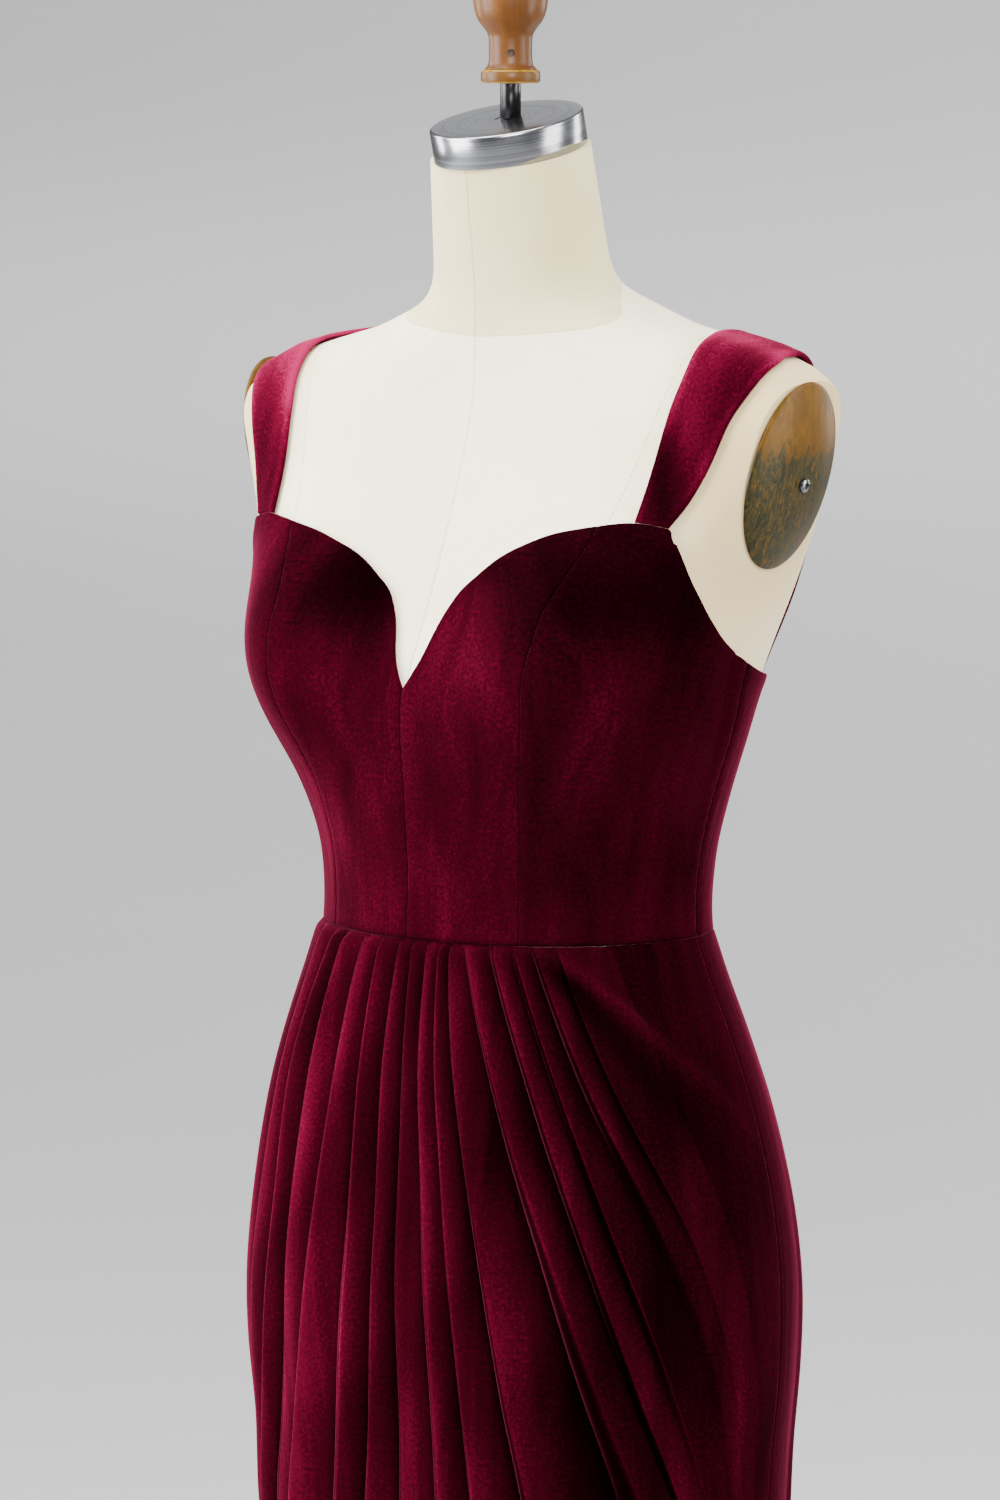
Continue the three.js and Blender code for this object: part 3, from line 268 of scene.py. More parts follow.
def body_level(x, y, z):
    """Zero on the form's surface, negative inside."""
    side = np.abs(x)
    half, mid = body["half"](z), body["mid"](z)
    fade = np.where(z > BUST["z"], BUST["up"], BUST["down"])
    bust = BUST["out"] * bell((side - BUST["side"]) / BUST["wide"]) * bell((z - BUST["z"]) / fade)
    cleft = CLEFT["out"] * bell(side / CLEFT["wide"]) * bell((z - CLEFT["z"]) / CLEFT["tall"])
    place = np.where(y < mid, y + bust + cleft, y)
    is_front = place < mid
    square = np.where(is_front, body["square_front"](z), body["square_back"](z))
    deep = np.where(is_front, body["front"](z) + mid, body["back"](z) - mid)
    ratio = (side / half) ** square + (np.abs(place - mid) / deep) ** square
    torso = (ratio ** (1 / square) - 1) * np.minimum(half, deep)
    behind = y - SHOULDER_LINE_Y
    drop = (behind / SHOULDER_ROUND["wide"]) ** 4
    drop = drop / (1 + drop / SHOULDER_ROUND["most"])
    tilt = TOP_TILT * x / SHOULDER_ROUND["tilt_side"]
    shoulders = (z - shoulder_top(side) - tilt + drop) * SHOULDER_ROUND["steep"]
    torso = -smooth_min(-torso, -shoulders, SHOULDER_ROUND["blend"])
    up = (z - NECK["z"]) / NECK["tall"]
    taper = np.maximum(up, 0)
    neck_half = NECK["half"] - NECK["taper"] * taper
    neck_deep = NECK["deep"] - NECK["taper_deep"] * taper
    ratio = np.hypot(x / neck_half, (y - NECK["y"] + NECK["lean"] * up) / neck_deep)
    neck = np.maximum((ratio - 1) * neck_deep, NECK["root"] - z)
    return smooth_min(torso, neck, NECK["blend"])


def skirt_level(x, y, z):
    half, mid, square = skirt["half"](z), skirt["mid"](z), skirt["square"](z)
    deep = np.where(y < mid, skirt["front"](z) + mid, skirt["back"](z) - mid)
    ratio = (np.abs(x) / half) ** square + (np.abs(y - mid) / deep) ** square
    return (ratio ** (1 / square) - 1) * np.minimum(half, deep)


def cast_rays(level, start, direction):
    """Where rays leave a surface. Points are arrays whose last axis is x, y, z."""
    near = np.zeros(start.shape[:-1])
    far = np.full(start.shape[:-1], RAY_REACH)
    for _ in range(HALVINGS):
        here = (near + far) / 2
        point = start + direction * here[..., None]
        inside = level(point[..., 0], point[..., 1], point[..., 2]) < 0
        near = np.where(inside, here, near)
        far = np.where(inside, far, here)
    return start + direction * ((near + far) / 2)[..., None]


def surface_points(level, angle, z):
    angle, z = np.broadcast_arrays(np.asarray(angle, float), np.asarray(z, float))
    turn = angle * DEGREE
    start = np.stack([np.zeros_like(z), axis_y(z), z], -1)
    direction = np.stack([np.sin(turn), -np.cos(turn), np.zeros_like(z)], -1)
    return cast_rays(level, start, direction)


def outward_normals(level, points):
    x, y, z = points[..., 0], points[..., 1], points[..., 2]
    reach = 0.6
    slopes = [
        level(x + reach, y, z) - level(x - reach, y, z),
        level(x, y + reach, z) - level(x, y - reach, z),
        level(x, y, z + reach) - level(x, y, z - reach),
    ]
    normal = np.stack(slopes, -1)
    return normal / np.linalg.norm(normal, axis=-1, keepdims=True)


def grid_normals(points):
    across = np.gradient(points, axis=1)
    upward = np.gradient(points, axis=0)
    normal = np.cross(across, upward)
    return normal / np.maximum(np.linalg.norm(normal, axis=-1, keepdims=True), 1e-9)


def halve(low, high, is_before):
    """The place where a test turns from true to false, for arrays of intervals."""
    for _ in range(HALVINGS):
        here = (low + high) / 2
        before = is_before(here)
        low = np.where(before, here, low)
        high = np.where(before, high, here)
    return (low + high) / 2


def ripple(a, b, seed, count=5):
    """A soft uneven surface from a few crossing waves, about -1 to 1. a and b are in wavelengths."""
    chance = np.random.default_rng(seed)
    total = 0
    for _ in range(count):
        heading = chance.uniform(0, 2 * math.pi)
        pace = chance.uniform(0.6, 1.7)
        phase = chance.uniform(0, 2 * math.pi)
        turn = math.cos(heading) * a + math.sin(heading) * b
        total = total + np.sin(2 * math.pi * pace * turn + phase)
    return total / count * 1.6


# Meshes

def put_mesh(name, points, faces, material, uvs=None, smooth_angle=None, nap_and_painted_light=None):
    """A new object from points in millimetres above the waist's height."""
    place = np.asarray(points, float).reshape(-1, 3) + (0, 0, WAIST)
    mesh = bpy.data.meshes.new(name)
    mesh.from_pydata((place * MM).tolist(), [], faces)
    if uvs is not None:
        layer = mesh.uv_layers.new(name="cloth")
        index = np.empty(len(mesh.loops), np.int32)
        mesh.loops.foreach_get("vertex_index", index)
        layer.data.foreach_set("uv", np.asarray(uvs, np.float32).reshape(-1, 2)[index].ravel())
    if nap_and_painted_light is not None:
        layer = mesh.attributes.new("nap_and_painted_light", "FLOAT", "POINT")
        layer.data.foreach_set("value", np.asarray(nap_and_painted_light, np.float32).ravel())
    mesh.polygons.foreach_set("use_smooth", np.ones(len(mesh.polygons), bool))
    if smooth_angle:
        mesh.set_sharp_from_angle(angle=smooth_angle * DEGREE)
    mesh.materials.append(material)
    piece = bpy.data.objects.new(name, mesh)
    bpy.context.scene.collection.objects.link(piece)
    return piece


def grid_faces(rows, count, first=0, flipped=False, closed=False):
    """Faces between rows of points. A closed grid's last column joins its first."""
    faces = []
    for r in range(rows - 1):
        for c in range(count if closed else count - 1):
            a = first + r * count + c
            b = first + r * count + (c + 1) % count
            quad = (a, b, b + count, a + count)
            faces.append(quad[::-1] if flipped else quad)
    return faces


def put_wall(name, outer, inner, uv, nap_and_painted_light, material):
    """A closed sheet between two grids. Columns go round with the angle and rows go up."""
    rows, count = outer.shape[:2]
    size = rows * count
    faces = grid_faces(rows, count) + grid_faces(rows, count, size, True)
    rim = [(0, c) for c in range(count)]
    rim += [(r, count - 1) for r in range(1, rows)]
    rim += [(rows - 1, c) for c in range(count - 2, -1, -1)]
    rim += [(r, 0) for r in range(rows - 2, -1, -1)]
    for (r, c), (s, d) in zip(rim[:-1], rim[1:]):
        a, b = r * count + c, s * count + d
        faces.append((b, a, a + size, b + size))
    points = np.concatenate([outer.reshape(-1, 3), inner.reshape(-1, 3)])
    uvs = np.concatenate([uv.reshape(-1, 2)] * 2)
    return put_mesh(name, points, faces, material, uvs, nap_and_painted_light=np.concatenate([nap_and_painted_light.ravel()] * 2))


def finish_piece(piece, slot, *replaced):
    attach(piece, "root")
    if replaced:
        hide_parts(*replaced)
    return piece


# Materials

def new_material(name, constants=None):
    """A material, its nodes and its shader, with the values that are the same all over."""
    material = bpy.data.materials.new(name)
    material.use_nodes = True
    tree = material.node_tree
    shader = tree.nodes["Principled BSDF"]
    for socket, value in (constants or {}).items():
        shader.inputs[socket].default_value = value
    return material, tree, shader


def node(tree, kind, **values):
    made = tree.nodes.new(kind)
    for key, value in values.items():
        setattr(made, key, value)
    return made


def link(tree, source, target):
    tree.links.new(source, target)


def feed(tree, source, socket):
    """Sets a node's socket from another node, or to a number or a colour."""
    if hasattr(source, "links"):
        link(tree, source, socket)
    else:
        socket.default_value = (*source, 1) if hasattr(source, "__len__") else source


def split(tree, vector):
    parts = node(tree, "ShaderNodeSeparateXYZ")
    link(tree, vector, parts.inputs[0])
    return parts.outputs


def object_place(tree):
    """Where a point of the piece is, and its x, y and z."""
    place = node(tree, "ShaderNodeTexCoord").outputs["Object"]
    return place, *split(tree, place)


def stretched(tree, source, scale, turn=(0, 0, 0)):
    """Coordinates scaled along each axis."""
    mapping = node(tree, "ShaderNodeMapping")
    mapping.inputs["Scale"].default_value = scale
    mapping.inputs["Rotation"].default_value = turn
    link(tree, source, mapping.inputs["Vector"])
    return mapping.outputs["Vector"]


def noise(tree, vector, scale, detail=3.0, rough=0.5, distort=0.0):
    made = node(tree, "ShaderNodeTexNoise")
    values = {"Scale": scale, "Detail": detail, "Roughness": rough, "Distortion": distort}
    for socket, value in values.items():
        made.inputs[socket].default_value = value
    link(tree, vector, made.inputs["Vector"])
    return made.outputs["Fac"]


def ramp(tree, source, stops, smooth=True):
    made = node(tree, "ShaderNodeValToRGB")
    made.color_ramp.interpolation = "EASE" if smooth else "LINEAR"
    made.color_ramp.elements[0].position = stops[0][0]
    made.color_ramp.elements[1].position = stops[-1][0]
    for place, _ in stops[1:-1]:
        made.color_ramp.elements.new(place)
    for element, (_, colour) in zip(made.color_ramp.elements, stops):
        if not hasattr(colour, "__len__"):
            colour = (colour, colour, colour)
        element.color = (*colour, 1)
    link(tree, source, made.inputs["Fac"])
    return made.outputs["Color"]


def maths(tree, operation, *sources):
    made = node(tree, "ShaderNodeMath", operation=operation)
    for socket, source in zip(made.inputs, sources):
        feed(tree, source, socket)
    return made.outputs[0]


def blend_colours(tree, share, first, second):
    made = node(tree, "ShaderNodeMix", data_type="RGBA")
    for place, source in ((0, share), (6, first), (7, second)):
        feed(tree, source, made.inputs[place])
    return made.outputs[2]


def bump(tree, shader, layers):
    """Bumps stacked one on the other: height, strength and depth in metres."""
    normal = None
    for height, strength, depth in layers:
        made = node(tree, "ShaderNodeBump")
        made.inputs["Strength"].default_value = strength
        made.inputs["Distance"].default_value = depth
        link(tree, height, made.inputs["Height"])
        if normal is not None:
            link(tree, normal, made.inputs["Normal"])
        normal = made.outputs["Normal"]
    link(tree, normal, shader.inputs["Normal"])


def colour(code):
    """A linear colour from the usual six digits."""
    parts = [int(code[i:i + 2], 16) / 255 for i in (0, 2, 4)]
    return tuple(p / 12.92 if p <= 0.04045 else ((p + 0.055) / 1.055) ** 2.4 for p in parts)


def velvet_material(name, streaked):
    """Velvet whose tone attribute runs from 0, the darkest, to 1, the brightest: partly the nap's own
    tone, partly painted shade and painted highlight.
    """
    material, tree, shader = new_material(name, {
        "Roughness": 0.9, "Specular IOR Level": 0.0, "Sheen Weight": 0.35, "Sheen Roughness": 0.3,
        "Sheen Tint": (*colour("e85480"), 1),
    })
    uv = node(tree, "ShaderNodeUVMap", uv_map="cloth").outputs["UV"]
    nap_and_painted_light = node(tree, "ShaderNodeAttribute", attribute_name="nap_and_painted_light").outputs["Fac"]
    brushed = noise(tree, stretched(tree, uv, (60, 5 if streaked else 14, 1)), 1.0, 4, 0.65, 0.6)
    tufts = noise(tree, stretched(tree, uv, (620, 460, 1)), 1.0, 2, 0.65)
    pile = noise(tree, uv, 1700.0, 2, 0.7)
    uneven = nap_and_painted_light
    for grain, strength in ((brushed, 0.42), (tufts, 0.5), (pile, 0.36)):
        level = maths(tree, "ADD", uneven, -strength / 2)
        uneven = maths(tree, "MULTIPLY_ADD", grain, strength, level)
    tone = ramp(tree, uneven, [
        (0.0, colour("060001")), (0.25, colour("130104")), (0.5, colour("2b020c")),
        (0.75, colour("4e071d")), (1.0, colour("80193f")),
    ], smooth=False)
    link(tree, tone, shader.inputs["Base Color"])
    bump(tree, shader, [(brushed, 0.35, 0.002), (tufts, 0.35, 0.0006), (pile, 0.3, 0.0003)])
    return material


def cover_material():
    material, tree, shader = new_material(
        "form_cover_linen", {"Roughness": 0.85, "Sheen Weight": 0.12})
    place, x, y, z = object_place(tree)
    blotch = noise(tree, place, 9.0, 4, 0.55)
    fine = noise(tree, place, 90.0, 3, 0.6)
    chest = ramp(tree, blotch, [(0.3, colour("f5eac0")), (0.62, colour("fbf3d4"))])
    neck = ramp(tree, blotch, [(0.3, colour("dacb96")), (0.62, colour("e7dca9"))])
    seam = maths(tree, "SUBTRACT", z, maths(
        tree, "MULTIPLY_ADD", y, NECK_SEAM["slope"],
        (WAIST + NECK_SEAM["z"] - NECK_SEAM["y"] * NECK_SEAM["slope"]) * MM))
    above = maths(tree, "GREATER_THAN", seam, 0.0)
    tone = blend_colours(tree, above, chest, neck)
    tone = blend_colours(tree, maths(tree, "MULTIPLY", fine, 0.12), tone, colour("b9ab8c"))
    side = maths(tree, "ABSOLUTE", x)
    slant = maths(tree, "MULTIPLY_ADD", z, FORM_SEAM["lean"], FORM_SEAM["foot"] * MM)
    off_seam = maths(tree, "ABSOLUTE", maths(tree, "SUBTRACT", side, slant))
    off_seam = maths(tree, "MINIMUM", off_seam, side)
    in_front = maths(tree, "LESS_THAN", y, FORM_SEAM["behind"] * MM)
    on_seam = maths(tree, "LESS_THAN", off_seam, FORM_SEAM["half"] * MM)
    seam_line = maths(tree, "MULTIPLY", on_seam, in_front)
    beat = maths(tree, "SINE", maths(tree, "MULTIPLY", z, 2 * math.pi / STITCH))
    stitch = maths(tree, "MULTIPLY", seam_line, maths(tree, "GREATER_THAN", beat, 0.1))
    worn = maths(tree, "MULTIPLY_ADD", stitch, 0.4, maths(tree, "MULTIPLY", seam_line, 0.14))
    tone = blend_colours(tree, worn, tone, colour("8f7c5c"))
    # Towards the sides the linen turns darker and more beige: partly its own smudged tone near the
    # armholes, partly painted shade where the form turns away from the front.
    side_tone_and_shade = maths(tree, "MULTIPLY_ADD", side, 12.0, -1.3)
    tone = blend_colours(tree, ramp(tree, side_tone_and_shade, [(0.05, 0.0), (0.8, 0.85)]), tone, colour("cdb277"))
    link(tree, tone, shader.inputs["Base Color"])
    weave = [maths(tree, "SINE", maths(tree, "MULTIPLY", way, 2 * math.pi / THREAD)) for way in (x, z)]
    thread = maths(tree, "MULTIPLY", *weave)
    bump(tree, shader, [(fine, 0.15, 0.001), (thread, 0.12, 0.0002)])
    return material


def steel_material(name, centre, tilt, tones):
    """Turned steel, with fine rings round the axis of the piece."""
    material, tree, shader = new_material(name, {"Metallic": 1.0})
    from_centre = node(tree, "ShaderNodeVectorMath", operation="SUBTRACT")
    link(tree, object_place(tree)[0], from_centre.inputs[0])
    from_centre.inputs[1].default_value = centre
    upright = stretched(tree, from_centre.outputs[0], (1, 1, 1), (-tilt, 0, 0))
    x, y, z = split(tree, upright)
    around = maths(tree, "SQRT", maths(tree, "ADD", maths(tree, "MULTIPLY", x, x),
                                       maths(tree, "MULTIPLY", y, y)))
    ring = node(tree, "ShaderNodeCombineXYZ")
    link(tree, maths(tree, "MULTIPLY", around, 1500.0), ring.inputs[0])
    link(tree, maths(tree, "MULTIPLY", z, 900.0), ring.inputs[1])
    grain = noise(tree, ring.outputs[0], 1.0, 3, 0.6)
    dull = noise(tree, upright, 60.0, 3, 0.6)
    link(tree, ramp(tree, grain, [(0.3, colour(tones[0])), (0.7, colour(tones[1]))]),
         shader.inputs["Base Color"])
    link(tree, ramp(tree, dull, [(0.3, 0.2), (0.7, 0.24)]), shader.inputs["Roughness"])
    bump(tree, shader, [(grain, 0.04, 0.0002)])
    return material


def black_material():
    material, tree, shader = new_material("black_paint", {"Coat Weight": 0.05})
    place = object_place(tree)[0]
    peel = noise(tree, place, 240.0, 2, 0.5)
    worn = noise(tree, place, 22.0, 5, 0.65)
    link(tree, ramp(tree, worn, [(0.35, colour("08080a")), (0.75, colour("141518"))]),
         shader.inputs["Base Color"])
    link(tree, ramp(tree, worn, [(0.3, 0.25), (0.7, 0.42)]), shader.inputs["Roughness"])
    bump(tree, shader, [(peel, 0.15, 0.0004)])
    return material


def wood_material():
    material, tree, shader = new_material(
        "turned_wood", {"Specular IOR Level": 0.2, "Coat Weight": 0.1, "Coat Roughness": 0.2})
    place, *_, z = object_place(tree)
    grain = noise(tree, stretched(tree, place, (60, 60, 9)), 1.0, 5, 0.6, 0.8)
    fine = noise(tree, stretched(tree, place, (700, 700, 60)), 1.0, 3, 0.6)
    tone = ramp(tree, grain, [
        (0.25, colour("3a2008")), (0.5, colour("5c350c")), (0.78, colour("7a4a16")),
    ])
    tone = blend_colours(tree, maths(tree, "MULTIPLY", fine, 0.3), tone, colour("331a08"))
    chips = noise(tree, place, 260.0, 4, 0.7, 0.6)
    up = maths(tree, "ADD", z, -(WAIST + ROD["top"]) * MM)
    on_flange = ramp(tree, maths(tree, "MULTIPLY", up, 50.0), [(0.36, 1.0), (0.46, 0.0)])
    off_middle = maths(tree, "ABSOLUTE", maths(tree, "ADD", up, -FLANGE["middle"] * MM))
    near_edge = maths(tree, "ABSOLUTE", maths(tree, "SUBTRACT", off_middle, FLANGE["half"] * MM))
    edge = ramp(tree, maths(tree, "MULTIPLY_ADD", near_edge, 500.0, chips), [(0.5, 1.0), (0.9, 0.0)])
    tone = blend_colours(tree, maths(tree, "MULTIPLY", on_flange, 0.55), tone, colour("5c3c0c"))
    tone = blend_colours(tree, maths(tree, "MULTIPLY", edge, on_flange), tone, colour("9c7518"))
    link(tree, tone, shader.inputs["Base Color"])
    link(tree, ramp(tree, fine, [(0.3, 0.36), (0.7, 0.5)]), shader.inputs["Roughness"])
    bump(tree, shader, [(grain, 0.2, 0.0006), (fine, 0.15, 0.0002)])
    return material


def brass_material():
    material, tree, shader = new_material(
        "aged_brass", {"Metallic": 0.15, "Specular IOR Level": 0.15, "Coat Weight": 0.04,
                       "Coat Roughness": 0.25})
    place, *_, z = object_place(tree)
    ragged = noise(tree, stretched(tree, place, (120, 120, 45)), 1.0, 5, 0.7, 1.0)
    scratch = noise(tree, stretched(tree, place, (90, 420, 120), (0.7, 0, 0)), 1.0, 4, 0.75, 1.5)
    low = maths(tree, "MULTIPLY_ADD", z, -22.0, (WAIST + ARM["z"] + 36) * MM * 22.0)
    worn = maths(tree, "ADD", low, maths(tree, "MULTIPLY_ADD", ragged, 1.3, -0.65))
    patina = ramp(tree, worn, [(0.42, 0.0), (0.58, 1.0)])
    chipped = ramp(tree, scratch, [(0.48, 1.0), (0.66, 0.25)])
    gold = ramp(tree, ragged, [(0.3, colour("4c3306")), (0.7, colour("66450a"))])
    dark = ramp(tree, scratch, [(0.3, colour("1a1c10")), (0.52, colour("2c2c18")),
                                (0.7, colour("5c4612"))])
    tone = blend_colours(tree, maths(tree, "MULTIPLY", patina, chipped), gold, dark)
    link(tree, tone, shader.inputs["Base Color"])
    link(tree, ramp(tree, scratch, [(0.3, 0.3), (0.7, 0.5)]), shader.inputs["Roughness"])
    bump(tree, shader, [(scratch, 0.15, 0.0004)])
    return material


velvet = velvet_material("burgundy_velvet", False)
draped_velvet = velvet_material("draped_velvet", True)
cover = cover_material()
steel = steel_material("turned_steel", (0, NECK_TOP["y"] * MM, (NECK_TOP["z"] + WAIST) * MM),
                       NECK_TOP["tilt"], ("85868a", "b2b3b7"))
dark_steel = steel_material("screw_steel", (0, 0, WAIST * MM), 0, ("55565a", "8d8e92"))
black = black_material()
wood = wood_material()
brass = brass_material()


# Bodice

def top_edge(angle):
    turned = np.abs(angle)
    edge = np.where(turned < TOP_CORNER, front_edge(np.minimum(turned, TOP_CORNER)),
                    side_edge(np.maximum(turned, TOP_CORNER)))
    return edge + TOP_TILT * np.sin(angle * DEGREE)


def edge_drop(distance, reach, depth):
    """How far a rolled edge lies below the cloth's face, by distance from the edge."""
    near = np.clip(1 - distance / reach, 0, 1)
    return depth * (1 - np.sqrt(1 - near**2))


# The velvet's tone round the bodice and the skirt, by angle: partly how the nap lies, partly painted
# shade that darkens the wearer's left side
bodice_nap_and_shade = straight_curve(
    (-180, -130, -95, -70, -40, 0, 30, 39, 42, 60, 85, 94, 98, 120, 150, 180),
    (0.5, 0.45, 0.44, 0.47, 0.43, 0.47, 0.48, 0.46, 0.37, 0.35, 0.38, 0.38, 0.36, 0.42, 0.45, 0.5))
skirt_nap_and_shade = straight_curve(
    (-180, -120, -90, -55, -30, 0, 20, 45, 60, 80, 95, 99, 130, 180),
    (0.5, 0.46, 0.38, 0.42, 0.43, 0.43, 0.42, 0.38, 0.34, 0.34, 0.34, 0.34, 0.38, 0.46))
# Patches of painted shade and painted highlight, as on the tops of the bust and below them, together
# with pile brushed dark or bright: angle, height, half widths in degrees and mm, strength
SHADE_AND_HIGHLIGHT_PATCHES = [
    (58, 196, 22, 32, -0.26), (28, 214, 12, 12, -0.16), (16, 176, 8, 22, 0.1),
    (54, 130, 14, 34, 0.16), (70, 60, 16, 60, 0.05), (-22, 212, 18, 42, -0.45),
    (-30, 150, 15, 24, 0.04), (-47, 215, 8, 40, -0.1), (-52, 170, 10, 60, 0.06),
    (10, 60, 20, 60, 0.04), (-40, 60, 12, 70, 0.1),
]
# Painted light across a fold, from one crest to the next: a highlight on each crest, painted shade in
# the valley and on the steep rise to the next crest
FOLD_SHADE_AND_HIGHLIGHT = straight_curve(
    (0, 0.05, 0.3, 0.6, 0.74, 0.81, 0.9, 0.945, 0.975, 1),
    (0.16, 0.12, 0.04, -0.08, -0.22, -0.42, -0.34, -0.05, 0.26, 0.16))
# Columns and rows beside a seam, by distance from it
SEAM_STEPS = [0, 0.1, 0.28, 0.55, 0.95, 1.5, 2.4, 4.0, 6.5]


def lane(low, high, column, steps, middle):
    """A column's place between two edges: close steps at each edge, even ones between."""
    if column < len(steps):
        return low + steps[column]
    if column >= len(steps) + len(middle):
        return high - steps[::-1][column - len(steps) - len(middle)]
    low, high = low + steps[-1], high - steps[-1]
    return low + (high - low) * middle[column - len(steps)]


def even_shares(count):
    return np.linspace(0, 1, count + 2)[1:-1]


def bodice_panel(name, from_seam, to_seam, across, upward, seed):
    """One panel between two seams that are angles by height."""
    steps = np.array(SEAM_STEPS) / BODICE_RADIUS / DEGREE
    shift = SEAM_GAP / 2 / BODICE_RADIUS / DEGREE
    middle = even_shares(across)

    def angle_at(column, z):
        return lane(from_seam(z) + shift, to_seam(z) - shift, column, steps, middle)

    count = 2 * len(steps) + across
    tops = np.array([
        float(halve(60.0, 260.0, lambda z, c=c: z < top_edge(angle_at(c, z)))) for c in range(count)
    ])
    foot = SEAM_GAP / 2 + 0 * tops
    z = np.stack([lane(foot, tops, r, SEAM_STEPS, even_shares(upward))
                  for r in range(2 * len(SEAM_STEPS) + upward)])
    angle = np.stack([angle_at(c, z[:, c]) for c in range(count)], 1)
    base = surface_points(body_level, angle, z)
    normal = outward_normals(body_level, base)
    radius = np.hypot(base[..., 0], base[..., 1])
    from_side = np.minimum(angle - from_seam(z), to_seam(z) - angle) * DEGREE * radius
    from_top = tops[None, :] - z
    face = EASE + CLOTH
    face = face - edge_drop(np.minimum(from_side, z), 1.1, CLOTH * 0.4)
    face = face - edge_drop(from_top, 1.1, CLOTH * 0.5)
    face = face + 0.3 * bell((from_side - 4.5) / 3.5) + 0.3 * bell((from_top - 4.5) / 3.2)
    pucker = np.sin(2 * math.pi * z / PUCKER + 2 * ripple(z / 60, angle / 90, seed + 50))
    face = face + 0.16 * pucker * bell((from_side - 2.5) / 3.5)
    face = face + 0.45 * ripple(angle / 60, z / 110, seed) * soft_step(0, 20, from_side)
    uv = np.stack([angle * DEGREE * BODICE_RADIUS * MM, z * MM], -1)
    # The bodice's tone: the nap's own tone and a random ripple, with painted shade and highlight
    # patches, and painted shade along the seams and at the waist edge.
    nap_and_painted_light = bodice_nap_and_shade(angle) + 0.06 * ripple(angle / 30, z / 110, seed + 20)
    for at, high, wide, tall, strength in SHADE_AND_HIGHLIGHT_PATCHES:
        nap_and_painted_light = nap_and_painted_light + strength * bell((angle - at) / wide) * bell((z - high) / tall)
    nap_and_painted_light = nap_and_painted_light - 0.08 * bell(from_side / 0.9) - 0.2 * bell(z / 2)
    return put_wall(name, base + normal * face[..., None], base + normal * EASE, uv, nap_and_painted_light, velvet)


def mirrored(seam):
    return lambda z: -seam(z)


def centre_front(z):
    return np.zeros_like(np.asarray(z, float))


def centre_back(z):
    return np.full_like(np.asarray(z, float), 180.0)


right_princess, right_side = mirrored(princess_angle), mirrored(side_angle)
BODICE_PANELS = [
    # name, from, to, columns, rows, cut width and height, cut area
    ("bodice_front_left", centre_front, princess_angle, 34, 90, (0.112, 0.245), 0.0186),
    ("bodice_front_right", right_princess, centre_front, 34, 90, (0.112, 0.240), 0.0182),
    ("bodice_side_left", princess_angle, side_angle, 46, 90, (0.155, 0.265), 0.0290),
    ("bodice_side_right", right_side, right_princess, 46, 90, (0.155, 0.258), 0.0283),
    ("bodice_back_left", side_angle, centre_back, 40, 60, (0.175, 0.160), 0.0250),
    ("bodice_back_right", mirrored(centre_back), right_side, 40, 60, (0.175, 0.155), 0.0240),
]
for number, (name, start, end, across, upward, flat, area) in enumerate(BODICE_PANELS):
    panel = bodice_panel(name + "_velvet", start, end, across, upward, 11 + number)
    finish_piece(panel, "velvet", name)


# Straps

